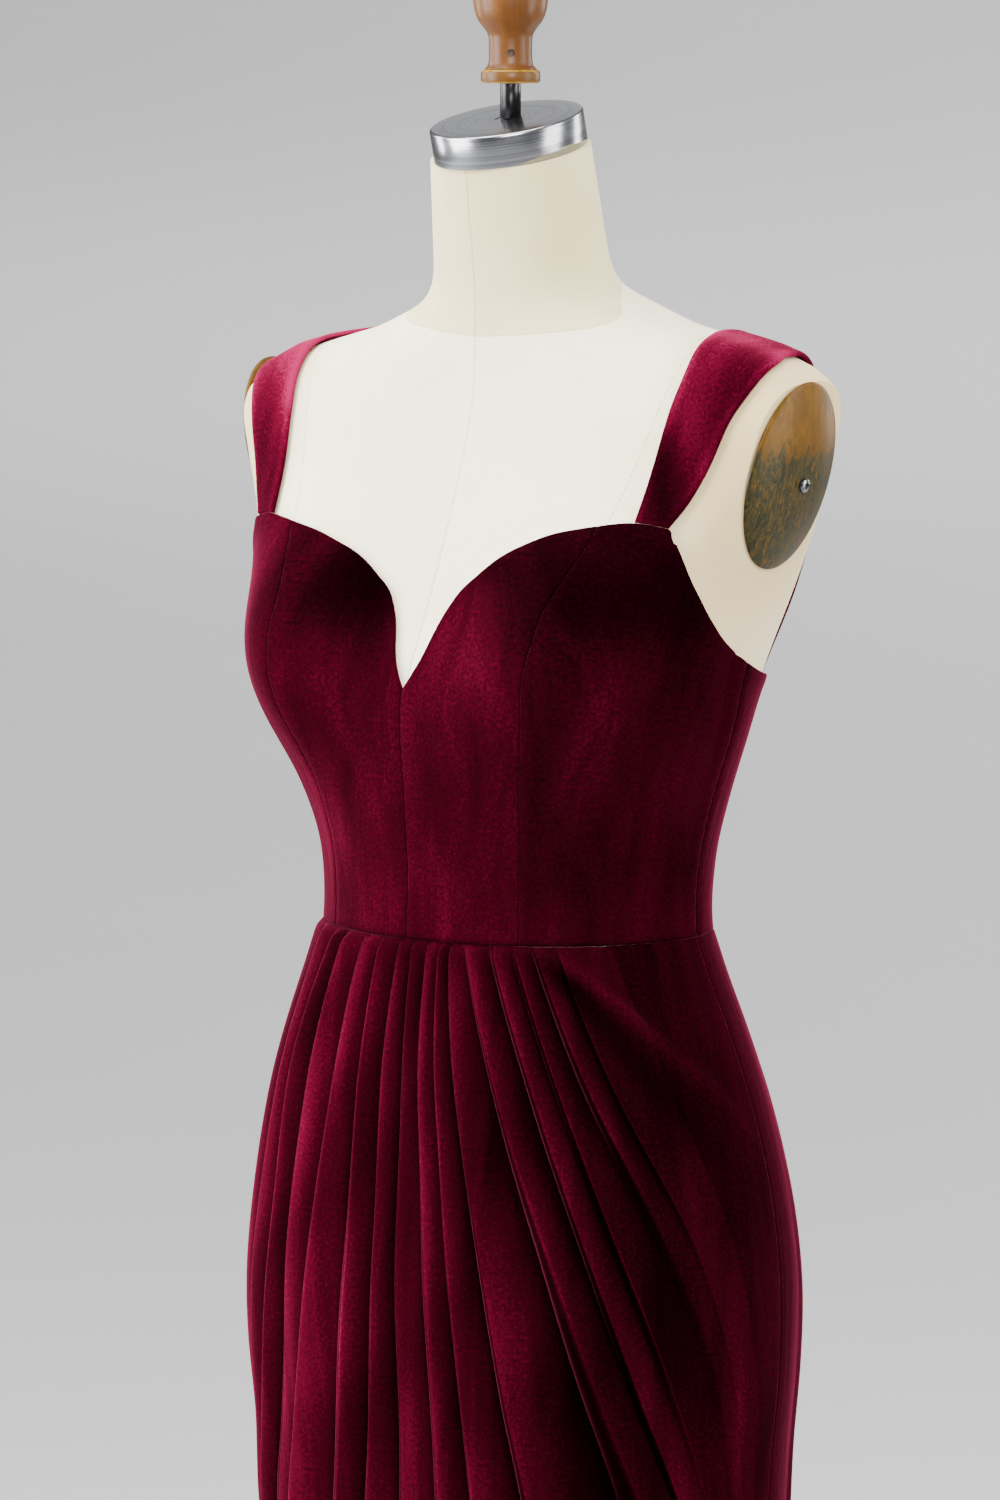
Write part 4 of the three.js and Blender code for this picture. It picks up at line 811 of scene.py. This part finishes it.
def strap_panel(name, side, seed):
    along, inner_x, outer_x, core_z = columns(STRAP)
    inner_edge, outer_edge = smooth_curve(along, inner_x), smooth_curve(along, outer_x)
    core = smooth_curve(along, core_z)
    edge_steps = [0, 0.15, 0.4, 0.8, 1.4, 2.2, 3.6]
    middle = even_shares(14)
    lanes = 2 * len(edge_steps) + len(middle)

    def surface_at(x, share, lift):
        x, share, lift = np.broadcast_arrays(x, share, lift)
        turn = lift * DEGREE
        start = np.stack([x, np.full_like(x, STRAP_CORE_Y), core(share)], -1)
        heading = np.stack([np.zeros_like(x), -np.cos(turn), np.sin(turn)], -1)
        return cast_rays(body_level, start, heading)

    def is_below_edge(x, share, lift):
        p = surface_at(x, share, lift)
        angle = np.arctan2(p[..., 0], -(p[..., 1] - axis_y(p[..., 2]))) / DEGREE
        return p[..., 2] < top_edge(angle) + STRAP_REST

    near_ends = [0.0008, 0.002, 0.004, 0.996, 0.998, 0.9992]
    share = np.unique(np.concatenate([np.linspace(0, 1, 150), near_ends]))
    x = side * np.stack([lane(inner_edge(share), outer_edge(share), column, edge_steps, middle)
                         for column in range(lanes)], 1)
    zero, one = np.zeros(lanes), np.ones(lanes)
    front = halve(zero + 5.0, zero + 70.0, lambda lift: is_below_edge(x[0], zero, lift))
    back = halve(zero + 215.0, zero + 150.0, lambda lift: is_below_edge(x[-1], one, lift))
    lift = front[None, :] + (back - front)[None, :] * share[:, None]
    base = surface_at(x, share[:, None] + np.zeros_like(x), lift)
    normal = outward_normals(body_level, base)
    from_edge = np.minimum(np.abs(x) - inner_edge(share)[:, None],
                           outer_edge(share)[:, None] - np.abs(x))
    wide = (outer_edge(share) - inner_edge(share))[:, None]
    length = np.cumsum(np.linalg.norm(np.diff(base[:, lanes // 2], axis=0), axis=-1))
    length = np.concatenate([[0], length])[:, None]
    from_end = np.minimum(length, length[-1] - length)
    crown = 0.5 * np.clip(1 - ((from_edge - wide / 2) / (wide / 2)) ** 2, 0, 1)
    face = STRAP_EASE + CLOTH + crown
    face = face - edge_drop(from_edge, 1.6, CLOTH * 0.6) - edge_drop(from_end, 1.2, CLOTH * 0.5)
    face = face + 0.35 * bell((from_edge - 3.5) / 2.2)
    drag = ripple(length / 120 + x / 70, x / 160, seed)
    face = face + 0.55 * drag * soft_step(0, 8, from_edge) * soft_step(0, 25, from_end)
    outer = base + normal * face[..., None]
    inner = base + normal * STRAP_EASE
    uv = np.stack([x * MM + 0 * length, (length + STRAP_PILE) * MM + 0 * x], -1)
    # The strap's tone: the nap's own tone, with painted sheen towards the top of the shoulder, along
    # the edges and on the raised drag ripples, and on the right strap in the middle of its length as
    # well.
    turned = lift / 90
    nap_and_painted_light = 0.46 + 0.4 * bell((turned - 0.92) / 0.24) + 0.2 * drag + 0.12 * bell((from_edge - 2) / 2.5)
    if side < 0:
        nap_and_painted_light = nap_and_painted_light + 0.3 * bell((turned - 0.62) / 0.2)
        outer, inner, uv, nap_and_painted_light = outer[:, ::-1], inner[:, ::-1], uv[:, ::-1], nap_and_painted_light[:, ::-1]
    return put_wall(name, outer, inner, uv, nap_and_painted_light, velvet), float(length[-1, 0])


for word, side in (("left", 1), ("right", -1)):
    strap, long = strap_panel(f"strap_{word}_velvet", side, 31 + side)
    finish_piece(strap, "velvet", f"strap_{word}")
    flat = (STRAP_CUT["wide"] * MM, long * MM)


# Skirt

def no_rise(z):
    return 0 * z


def fold_lines(folds, from_seam, to_seam):
    inside = [[smooth_curve(FOLD_HEIGHTS, values) for values in fold] for fold in folds]
    return [(from_seam, no_rise), *inside, (to_seam, no_rise)]


fold_z, fold_valley, fold_sharp = columns(FOLD_SHAPE)
valley_share = straight_curve(fold_z, fold_valley)
crest_sharpness = straight_curve(fold_z, fold_sharp)
sweeps = []
for rise, wide, path in SWEEPS:
    heights, angles, strengths = columns(path)
    sweeps.append((rise, wide, smooth_curve(heights, angles), smooth_curve(heights, strengths),
                   min(heights)))


def sweep_rise(angle, z, radius):
    """The rise of each sweep at a place, the ridge's and the hollow's."""
    each = []
    for rise, wide, at_angle, strength, low in sweeps:
        step = (at_angle(z - 2) - at_angle(z + 2)) * DEGREE * radius * 0.25
        across = (angle - at_angle(z)) * DEGREE * radius / np.hypot(1, step)
        height = rise * np.maximum(strength(z), 0) * bell(across / wide)
        each.append(np.where(z >= low, height, 0))
    return each


def skirt_points(lines, place, z, is_front, crease):
    """Points of the folded cloth. Places are whole numbers on the folds' crests."""
    index = np.minimum(np.floor(place).astype(int), len(lines) - 2)
    share = place - index
    angles = np.stack([angle(z) + 0 * z for angle, _ in lines])
    rises = np.maximum(np.stack([rise(z) + 0 * z for _, rise in lines]), 0)
    pick = lambda table, i: np.take_along_axis(table, i[None], 0)[0]
    angle = pick(angles, index) * (1 - share) + pick(angles, index + 1) * share
    valley, sharp = valley_share(z), crest_sharpness(z)
    fall = np.clip(share / valley, 0, 1)
    climb = np.clip((share - valley) / (1 - valley), 0, 1)
    falling = (0.5 + 0.5 * np.cos(math.pi * fall)) ** sharp
    rising = (0.5 - 0.5 * np.cos(math.pi * climb)) ** sharp
    keen = crease * soft_step(-640, -380, z)
    falling = falling * (1 - keen) + keen * (1 - fall**1.5)
    rising = rising * (1 - keen) + keen * np.sqrt(1 - (1 - climb) ** 2)
    base = surface_points(skirt_level, angle, z)
    normal = outward_normals(skirt_level, base)
    rise = pick(rises, index) * falling + pick(rises, index + 1) * rising
    radius = np.hypot(base[..., 0], base[..., 1])
    if is_front:
        rise = rise + sum(sweep_rise(angle, z, radius)) * soft_step(0, -20, z)
    rise = rise * (1 - bell(z / 4))
    tall = np.maximum(pick(rises, index), pick(rises, index + 1))
    return base + normal * rise[..., None], angle, tall * (1 - 0.8 * bell(z / 12))


near_top = SEAM_GAP / 2 + np.array([0, 0.15, 0.4, 0.8, 1.4, 2.2, 3.4])
SKIRT_ROWS = -np.concatenate([near_top, np.linspace(5.5, 345, 98), np.linspace(352, 1045, 42)])[::-1]
# Columns from one crest to the next, closer where the fold turns
FOLD_STEPS = [0, 0.06, 0.15, 0.26, 0.38, 0.5, 0.61, 0.69, 0.75, 0.79, 0.81, 0.84, 0.88, 0.92, 0.955,
              0.98]


def skirt_panel(name, folds, from_seam, to_seam, is_front, crease, seed):
    lines = fold_lines(folds, from_seam, to_seam)
    last = len(lines) - 1
    ends = np.array([0, 0.004, 0.01, 0.022, 0.045])
    inner_places = np.concatenate([np.array(FOLD_STEPS) + fold for fold in range(last)])
    inner_places = inner_places[(inner_places > 0.06) & (inner_places < last - 0.06)]
    place = np.concatenate([ends, inner_places, last - ends[::-1]])
    z, place = np.meshgrid(SKIRT_ROWS, place, indexing="ij")
    outer, angle, height = skirt_points(lines, place, z, is_front, crease)
    normal = grid_normals(outer)
    radius = np.hypot(outer[..., 0], outer[..., 1])
    from_side = np.minimum(angle - from_seam(z), to_seam(z) - angle) * DEGREE * radius
    soft = 0.6 * ripple(angle / 30, z / 160, seed) * soft_step(0, 25, from_side)
    face = soft - edge_drop(np.maximum(from_side, 0), 1.2, 0.8) - edge_drop(-z, 2.4, 1.6)
    inner = outer - normal * CLOTH
    inner[..., 2] = outer[..., 2]
    outer = outer + normal * face[..., None] * (1, 1, 0)
    uv = np.stack([angle * DEGREE * SKIRT_RADIUS * MM, z * MM], -1)
    # The skirt's tone: the nap's own tone by angle, with random steps and ripples, and painted light:
    # highlights on the crests, shade in the folds' valleys and in the sweep's hollow, brighter on its
    # ridge, and shade on the wearer's left side below the waist.
    nap_and_painted_light = skirt_nap_and_shade(angle) + 0.1 * ripple(place / 2.2, z / 260, seed + 20, 7)
    share = place - np.floor(place)
    if is_front:
        nap_and_painted_light = nap_and_painted_light + FOLD_SHADE_AND_HIGHLIGHT(share) * np.clip(height / 5, 0, 1) + 0.05 * soft_step(-80, -330, z)
        chance = np.random.default_rng(seed + 40).uniform(-0.07, 0.07, last + 1)
        nap_and_painted_light = nap_and_painted_light + chance[np.minimum(place.astype(int), last)] + 0.05 * ripple(place / 2, z / 90, 5, 6)
        ridge, hollow = sweep_rise(angle, z, radius)
        nap_and_painted_light = nap_and_painted_light + 0.024 * ridge + 0.06 * hollow
        nap_and_painted_light = nap_and_painted_light - 0.1 * bell((angle - 62) / 16) * soft_step(-30, -90, z)
    return put_wall(name, outer, inner, uv, nap_and_painted_light, draped_velvet)


def beside_seam(seam, side):
    def angle(z):
        radius = (skirt["half"](z) + skirt["front"](z)) / 2
        return seam(z) + side * SEAM_GAP / 2 / radius / DEGREE
    return angle


right_flutes = [([-a for a in path], rise) for path, rise in reversed(BACK_FLUTES)]
SKIRT_PANELS = [
    ("skirt_front", FRONT_FOLDS, beside_seam(right_side, 1), beside_seam(side_angle, -1),
     True, 1.0, (1.30, 1.075), 0.80),
    ("skirt_back_left", BACK_FLUTES, beside_seam(side_angle, 1), beside_seam(centre_back, -1),
     False, 0.2, (0.62, 1.075), 0.36),
    ("skirt_back_right", right_flutes, beside_seam(mirrored(centre_back), 1),
     beside_seam(right_side, -1), False, 0.2, (0.62, 1.075), 0.36),
]
for number, (name, folds, start, end, is_front, crease, flat, area) in enumerate(SKIRT_PANELS):
    panel = skirt_panel(name + "_velvet", folds, start, end, is_front, crease, 71 + number)
    finish_piece(panel, "velvet", name)


# Dress form

def choose(piece):
    bpy.ops.object.select_all(action="DESELECT")
    bpy.context.view_layer.objects.active = piece
    piece.select_set(True)


def form_cover():
    near = np.array([0, 0.3, 0.6, 1.0, 1.6, 2.6])
    angles = np.concatenate([near, np.linspace(4, 66, 44), np.linspace(68, 176, 50), 180 - near[::-1]])
    angles = np.concatenate([angles, 360 - angles[-2:0:-1]])
    seam_z = np.full_like(angles, NECK_SEAM["z"])
    for _ in range(8):
        point = surface_points(body_level, angles, seam_z)
        seam_z = NECK_SEAM["z"] + NECK_SEAM["slope"] * (point[:, 1] - NECK_SEAM["y"])
    top_z = np.full_like(angles, NECK_TOP["z"])
    for _ in range(8):
        point = surface_points(body_level, angles, top_z)
        top_z = NECK_TOP["z"] + (point[:, 1] - NECK_TOP["y"]) * math.tan(NECK_TOP["tilt"])
    flat_rows = np.concatenate([np.linspace(FORM_BOTTOM, 0, 30), np.linspace(5, 306, 90)])
    rows = [np.full_like(angles, z) for z in flat_rows]
    steps = np.array([0.1, 0.22, 0.34, 0.46, 0.58, 0.7, 0.8, 0.88, 0.94, 0.97, 0.985])
    rows += [306 + (seam_z - 306) * s for s in steps]
    rows += [seam_z + d for d in (-0.35, -0.15, 0, 0.15, 0.35)]
    rows += [seam_z + (top_z - seam_z) * s for s in
             (0.01, 0.02, 0.04, 0.08, 0.14, 0.22, 0.32, 0.42, 0.52, 0.62, 0.72, 0.82, 0.91, 0.97, 1)]
    z = np.stack(rows)
    angle = np.broadcast_to(angles, z.shape)
    points = surface_points(body_level, angle, z)
    normal = outward_normals(body_level, points)
    off = np.minimum(angle, 360 - angle) * DEGREE * np.hypot(points[..., 0], points[..., 1])
    groove = 0.45 * bell(off / 0.6) + 0.4 * bell((z - seam_z) / 0.3)
    neck_step = 0.35 * soft_step(-0.2, 0.2, z - seam_z) * (1 - soft_step(4, 30, z - seam_z))
    points = points + normal * (neck_step - groove)[..., None]
    rows, count = z.shape
    faces = grid_faces(rows, count, closed=True)
    faces.append(tuple(range(count))[::-1])
    faces.append(tuple(range((rows - 1) * count, rows * count)))
    piece = put_mesh("form_cover", points.reshape(-1, 3), faces, cover)
    cut_arm_flats(piece)
    return piece


def cut_arm_flats(piece):
    """Cuts the shoulders' ends off flat, where arms would start."""
    choose(piece)
    for side in (1, -1):
        place = Vector((side * ARM["x"], ARM["y"], ARM["z"] + WAIST)) * MM
        outward = Vector((side * math.cos(ARM["tilt"]), 0, -math.sin(ARM["tilt"])))
        for polygon in piece.data.polygons:
            centre = polygon.center
            polygon.select = side * centre.x > 0.1 and centre.z > (WAIST + 170) * MM
        bpy.ops.object.mode_set(mode="EDIT")
        bpy.ops.mesh.select_mode(type="FACE")
        bpy.ops.mesh.bisect(plane_co=place, plane_no=outward, use_fill=True, clear_outer=True)
        bpy.ops.mesh.select_all(action="DESELECT")
        bpy.ops.object.mode_set(mode="OBJECT")
    piece.data.set_sharp_from_angle(angle=35 * DEGREE)
    piece.select_set(False)


form = form_cover()
finish_piece(form, "form_cover", "form_body")


# Turned pieces: finial, rod, neck cap, arm plates and their screws

def edit_all(piece):
    choose(piece)
    bpy.ops.object.mode_set(mode="EDIT")
    bpy.ops.mesh.select_all(action="SELECT")


def turned_piece(name, outline, material, steps=64, smooth_angle=35):
    """A solid turned about the upright axis, from the rim of its foot to the rim of its top."""
    bpy.ops.object.select_all(action="DESELECT")
    (radius, height), *rest = outline
    bpy.ops.mesh.primitive_circle_add(vertices=steps, radius=radius * MM, fill_type="NGON")
    piece = bpy.context.active_object
    piece.name = name
    bpy.ops.object.mode_set(mode="EDIT")
    bpy.ops.mesh.select_all(action="SELECT")
    bpy.ops.transform.translate(value=(0, 0, height * MM))
    for next_radius, next_height in rest:
        rise = (0, 0, (next_height - height) * MM)
        bpy.ops.mesh.extrude_region_move(TRANSFORM_OT_translate={"value": rise})
        share = next_radius / radius
        bpy.ops.transform.resize(value=(share, share, 1), center_override=(0, 0, 0))
        radius, height = next_radius, next_height
    bpy.ops.mesh.select_all(action="SELECT")
    bpy.ops.mesh.normals_make_consistent(inside=False)
    bpy.ops.object.mode_set(mode="OBJECT")
    piece.data.polygons.foreach_set("use_smooth", np.ones(len(piece.data.polygons), bool))
    piece.data.set_sharp_from_angle(angle=smooth_angle * DEGREE)
    piece.data.materials.append(material)
    return piece


def turn_piece(piece, angle, axis, centre=(0, 0, 0)):
    """Turns a whole piece by the right-hand rule. With no window the operator turns backwards."""
    edit_all(piece)
    bpy.ops.transform.rotate(value=-angle, orient_axis=axis, center_override=centre)
    bpy.ops.object.mode_set(mode="OBJECT")


def shift_piece(piece, x, y, z):
    edit_all(piece)
    bpy.ops.transform.translate(value=(x * MM, y * MM, z * MM))
    bpy.ops.object.mode_set(mode="OBJECT")


def place_on_arm(piece, side, back, up):
    """Lays a turned piece on the flat of an arm's end, its axis pointing outwards."""
    tilt = ARM["tilt"]
    turn_piece(piece, math.pi / 2, "Z")
    turn_piece(piece, math.pi / 2 + tilt, "Y")
    shift_piece(piece, ARM["x"] + up * math.sin(tilt), ARM["y"] + back,
                WAIST + ARM["z"] + up * math.cos(tilt))
    if side < 0:
        turn_piece(piece, math.pi, "Z", (0, ARM["y"] * MM, 0))


cap_outline = [
    (44.3, 0), (44.5, 0.3), (44.5, 17.5), (44.4, 18.1), (44.0, 18.6), (43.4, 18.9), (42.6, 19),
    (30, 19), (18, 19), (9, 19), (6.9, 19), (6.7, 18.7), (6.3, 18.7),
]
neck_cap = turned_piece("neck_cap_steel", cap_outline, steel, 96)
shift_piece(neck_cap, 0, 0, HARDWARE_GAP)
turn_piece(neck_cap, NECK_TOP["tilt"], "X")
shift_piece(neck_cap, 0, NECK_TOP["y"], NECK_TOP["z"] + WAIST)
finish_piece(neck_cap, "neck_cap", "neck_cap")


def sloped_rod():
    """The rod, its foot cut to the slope of the cap."""
    outline = [(ROD["radius"], NECK_TOP["z"] + 5), (ROD["radius"], ROD["top"])]
    rod = turned_piece("neck_rod_black", outline, black, 40)
    shift_piece(rod, 0, ROD["y"], WAIST)
    above = (CAP["tall"] + 2 * HARDWARE_GAP) / math.cos(NECK_TOP["tilt"])
    place = Vector((0, NECK_TOP["y"], NECK_TOP["z"] + above + WAIST)) * MM
    downward = Vector((0, math.sin(NECK_TOP["tilt"]), -math.cos(NECK_TOP["tilt"])))
    edit_all(rod)
    bpy.ops.mesh.bisect(plane_co=place, plane_no=downward, use_fill=True, clear_outer=True)
    bpy.ops.object.mode_set(mode="OBJECT")
    return finish_piece(rod, "rod", "neck_rod")


sloped_rod()


def drilled_finial():
    """The finial, with the blind hole of its set screw."""
    foot = WAIST + ROD["top"] + HARDWARE_GAP
    finial = turned_piece("finial_wood", FINIAL, wood, 72)
    shift_piece(finial, 0, ROD["y"], foot)
    hole = FINIAL_HOLE
    outline = [(hole["radius"], -hole["deep"]), (hole["radius"], hole["deep"])]
    drill = turned_piece("drill", outline, black, 28)
    turn_piece(drill, math.pi / 2, "X")
    shift_piece(drill, 0, -hole["neck"], 0)
    turn_piece(drill, hole["turn"], "Z")
    shift_piece(drill, 0, ROD["y"], foot + hole["up"])
    choose(finial)
    cut = finial.modifiers.new("set_screw_hole", "BOOLEAN")
    cut.operation = "DIFFERENCE"
    cut.object = drill
    bpy.ops.object.modifier_apply(modifier=cut.name)
    bpy.data.objects.remove(drill)
    finial.data.set_sharp_from_angle(angle=35 * DEGREE)
    return finish_piece(finial, "finial", "finial")


drilled_finial()

half_tall = PLATE["tall"] / 2
plate_outline = [(half_tall - 0.7, 0), (half_tall, 0.6), (half_tall, 1.3), (half_tall - 0.5, 1.8)]
for share in (0.975, 0.94, 0.9, 0.85, 0.79, 0.72, 0.63, 0.54, 0.42, 0.3, 0.16, 0.05):
    rise = PLATE["dome"] * (1 - share ** PLATE["crown"])
    plate_outline.append((half_tall * share, PLATE["rim"] + rise))
screw_outline = [
    (3.8, 0), (4, 0.3), (3.8, 1.0), (3.1, 1.5), (2.2, 1.75), (1.7, 1.8), (1.6, 0.9), (0.4, 0.8),
]
screw_foot = PLATE["rim"] + PLATE["dome"] + HARDWARE_GAP
for word, side in (("left", 1), ("right", -1)):
    plate = turned_piece(f"arm_plate_{word}_brass", plate_outline, brass, 96)
    edit_all(plate)
    bpy.ops.transform.resize(value=(PLATE["wide"] / PLATE["tall"], 1, 1), center_override=(0, 0, 0))
    bpy.ops.object.mode_set(mode="OBJECT")
    shift_piece(plate, 0, 0, HARDWARE_GAP)
    place_on_arm(plate, side, 0, 0)
    finish_piece(plate, "arm_plate", f"arm_plate_{word}")
    screw = turned_piece(f"plate_screw_{word}_steel", screw_outline, dark_steel, 32)
    shift_piece(screw, 0, 0, screw_foot + HARDWARE_GAP)
    place_on_arm(screw, side, PLATE_SCREW["back"], PLATE_SCREW["up"])
    finish_piece(screw, "screw", f"plate_screw_{word}")


# CAD nodes that stay, with their finishes

for name in ("pole_collar", "stand_pole", "stand_base", "zip_slider"):
    shown = nodes[name]
    shown.data.materials.clear()
    shown.data.materials.append(dark_steel if name == "zip_slider" else black)


# Camera, floor and light

CAMERA = {"turn": 40.165 * DEGREE, "place": (2571.2, -3064.2, 547.9), "pitch": -6.393 * DEGREE,
          "lens": 167.06}
camera_data = bpy.data.cameras.new("camera")
camera_data.lens = CAMERA["lens"]
camera_data.sensor_width = 36.0
camera_data.clip_end = 60.0
camera = bpy.data.objects.new("camera", camera_data)
camera.location = (Vector(CAMERA["place"]) + Vector((0, 0, WAIST))) * MM
camera.rotation_euler = Euler((math.pi / 2 + CAMERA["pitch"], 0, CAMERA["turn"]))
bpy.context.scene.collection.objects.link(camera)
bpy.context.scene.camera = camera


def studio_floor():
    """A pale floor that curves up into a backdrop all round. Its paint carries painted light: it glows,
    and it is darker outside the sector behind the dress that the camera sees.
    """
    paint_and_glow, tree, shader = new_material(
        "studio_paint_and_glow", {"Roughness": 0.9, "Emission Color": (0.8, 0.8, 0.81, 1)})
    place, x, y, z = object_place(tree)
    # Painted light: the paint turns towards dark 6a6a6c outside the sector behind the dress as seen
    # from the camera, and it glows most about half a metre up and towards the camera's right.
    away = maths(tree, "MULTIPLY_ADD", x, -math.sin(CAMERA["turn"]),
                 maths(tree, "MULTIPLY", y, math.cos(CAMERA["turn"])))
    aside = maths(tree, "MULTIPLY_ADD", x, math.cos(CAMERA["turn"]),
                  maths(tree, "MULTIPLY", y, math.sin(CAMERA["turn"])))
    cloud = noise(tree, place, 0.6, 2, 0.5)
    behind = ramp(tree, maths(tree, "MULTIPLY_ADD", away, 0.1, 0.5), [(0.4, 0.0), (0.7, 1.0)])
    off_middle = maths(tree, "MULTIPLY", maths(tree, "ABSOLUTE", aside), 0.28)
    centred = ramp(tree, off_middle, [(0.5, 1.0), (1.0, 0.0)])
    painted_light_sector = maths(tree, "MULTIPLY_ADD", maths(tree, "MULTIPLY", behind, centred), 0.88, 0.12)
    paint_tone = ramp(tree, cloud, [(0.3, colour("b9babc")), (0.7, colour("c2c2c4"))])
    link(tree, blend_colours(tree, painted_light_sector, colour("6a6a6c"), paint_tone), shader.inputs["Base Color"])
    level = ramp(tree, maths(tree, "MULTIPLY", z, 0.5), [(0.0, 0.84), (0.25, 1.04), (0.75, 0.7)])
    glow = maths(tree, "MULTIPLY", painted_light_sector, maths(tree, "MULTIPLY_ADD", aside, 0.06, level))
    link(tree, glow, shader.inputs["Emission Strength"])
    profile = [(4.6, 0), (9.2, 0), (11.5, 0.03), (12.9, 0.12), (14, 0.32), (15, 0.65), (15.5, 1.1),
               (15.9, 1.7), (16, 2.6), (16, 10)]
    turns = 64
    headings = [2 * math.pi * i / turns for i in range(turns)]
    points = [(radius * math.cos(a) / MM, radius * math.sin(a) / MM, height / MM - WAIST)
              for radius, height in profile for a in headings]
    sides = grid_faces(len(profile), turns, flipped=True, closed=True)
    floor = put_mesh("studio_floor", points, sides, paint_and_glow)
    middle = put_mesh("studio_disc", points[:turns], [tuple(range(turns))], paint_and_glow)


studio_floor()


def soft_light(name, aside, before, up, size, power, aim=(0, 0, 0.15)):
    """A square lamp placed from the camera's view: to its right, towards it, and above the waist."""
    turn = CAMERA["turn"]
    right = Vector((math.cos(turn), math.sin(turn), 0))
    towards = Vector((math.sin(turn), -math.cos(turn), 0))
    lamp = bpy.data.lights.new(name, "AREA")
    lamp.shape = "RECTANGLE"
    lamp.size, lamp.size_y = size
    lamp.energy = power
    placed = bpy.data.objects.new(name, lamp)
    placed.location = right * aside + towards * before + Vector((0, 0, WAIST * MM + up))
    target = Vector((0, 0, WAIST * MM)) + Vector(aim)
    placed.rotation_euler = (target - placed.location).to_track_quat("-Z", "Y").to_euler()
    bpy.context.scene.collection.objects.link(placed)


soft_light("key_lamp", -2.5, 0.5, 0.6, (1.7, 3.0), 265)
soft_light("fill_lamp", 2.4, 0.8, 0.5, (1.2, 2.8), 92)
soft_light("front_lamp", 0.2, 3.1, 1.3, (1.4, 1.8), 175)
soft_light("left_edge_lamp", -2.2, -1.4, 0.7, (0.6, 2.4), 60)
soft_light("right_edge_lamp", 2.3, -1.7, 0.9, (0.7, 2.4), 50)
soft_light("top_lamp", -0.5, 0.1, 2.4, (1.8, 1.8), 105)

world = bpy.data.worlds.new("studio_air")
world.use_nodes = True
world.node_tree.nodes["Background"].inputs["Color"].default_value = (0.8, 0.81, 0.83, 1)
world.node_tree.nodes["Background"].inputs["Strength"].default_value = 0.45
bpy.context.scene.world = world
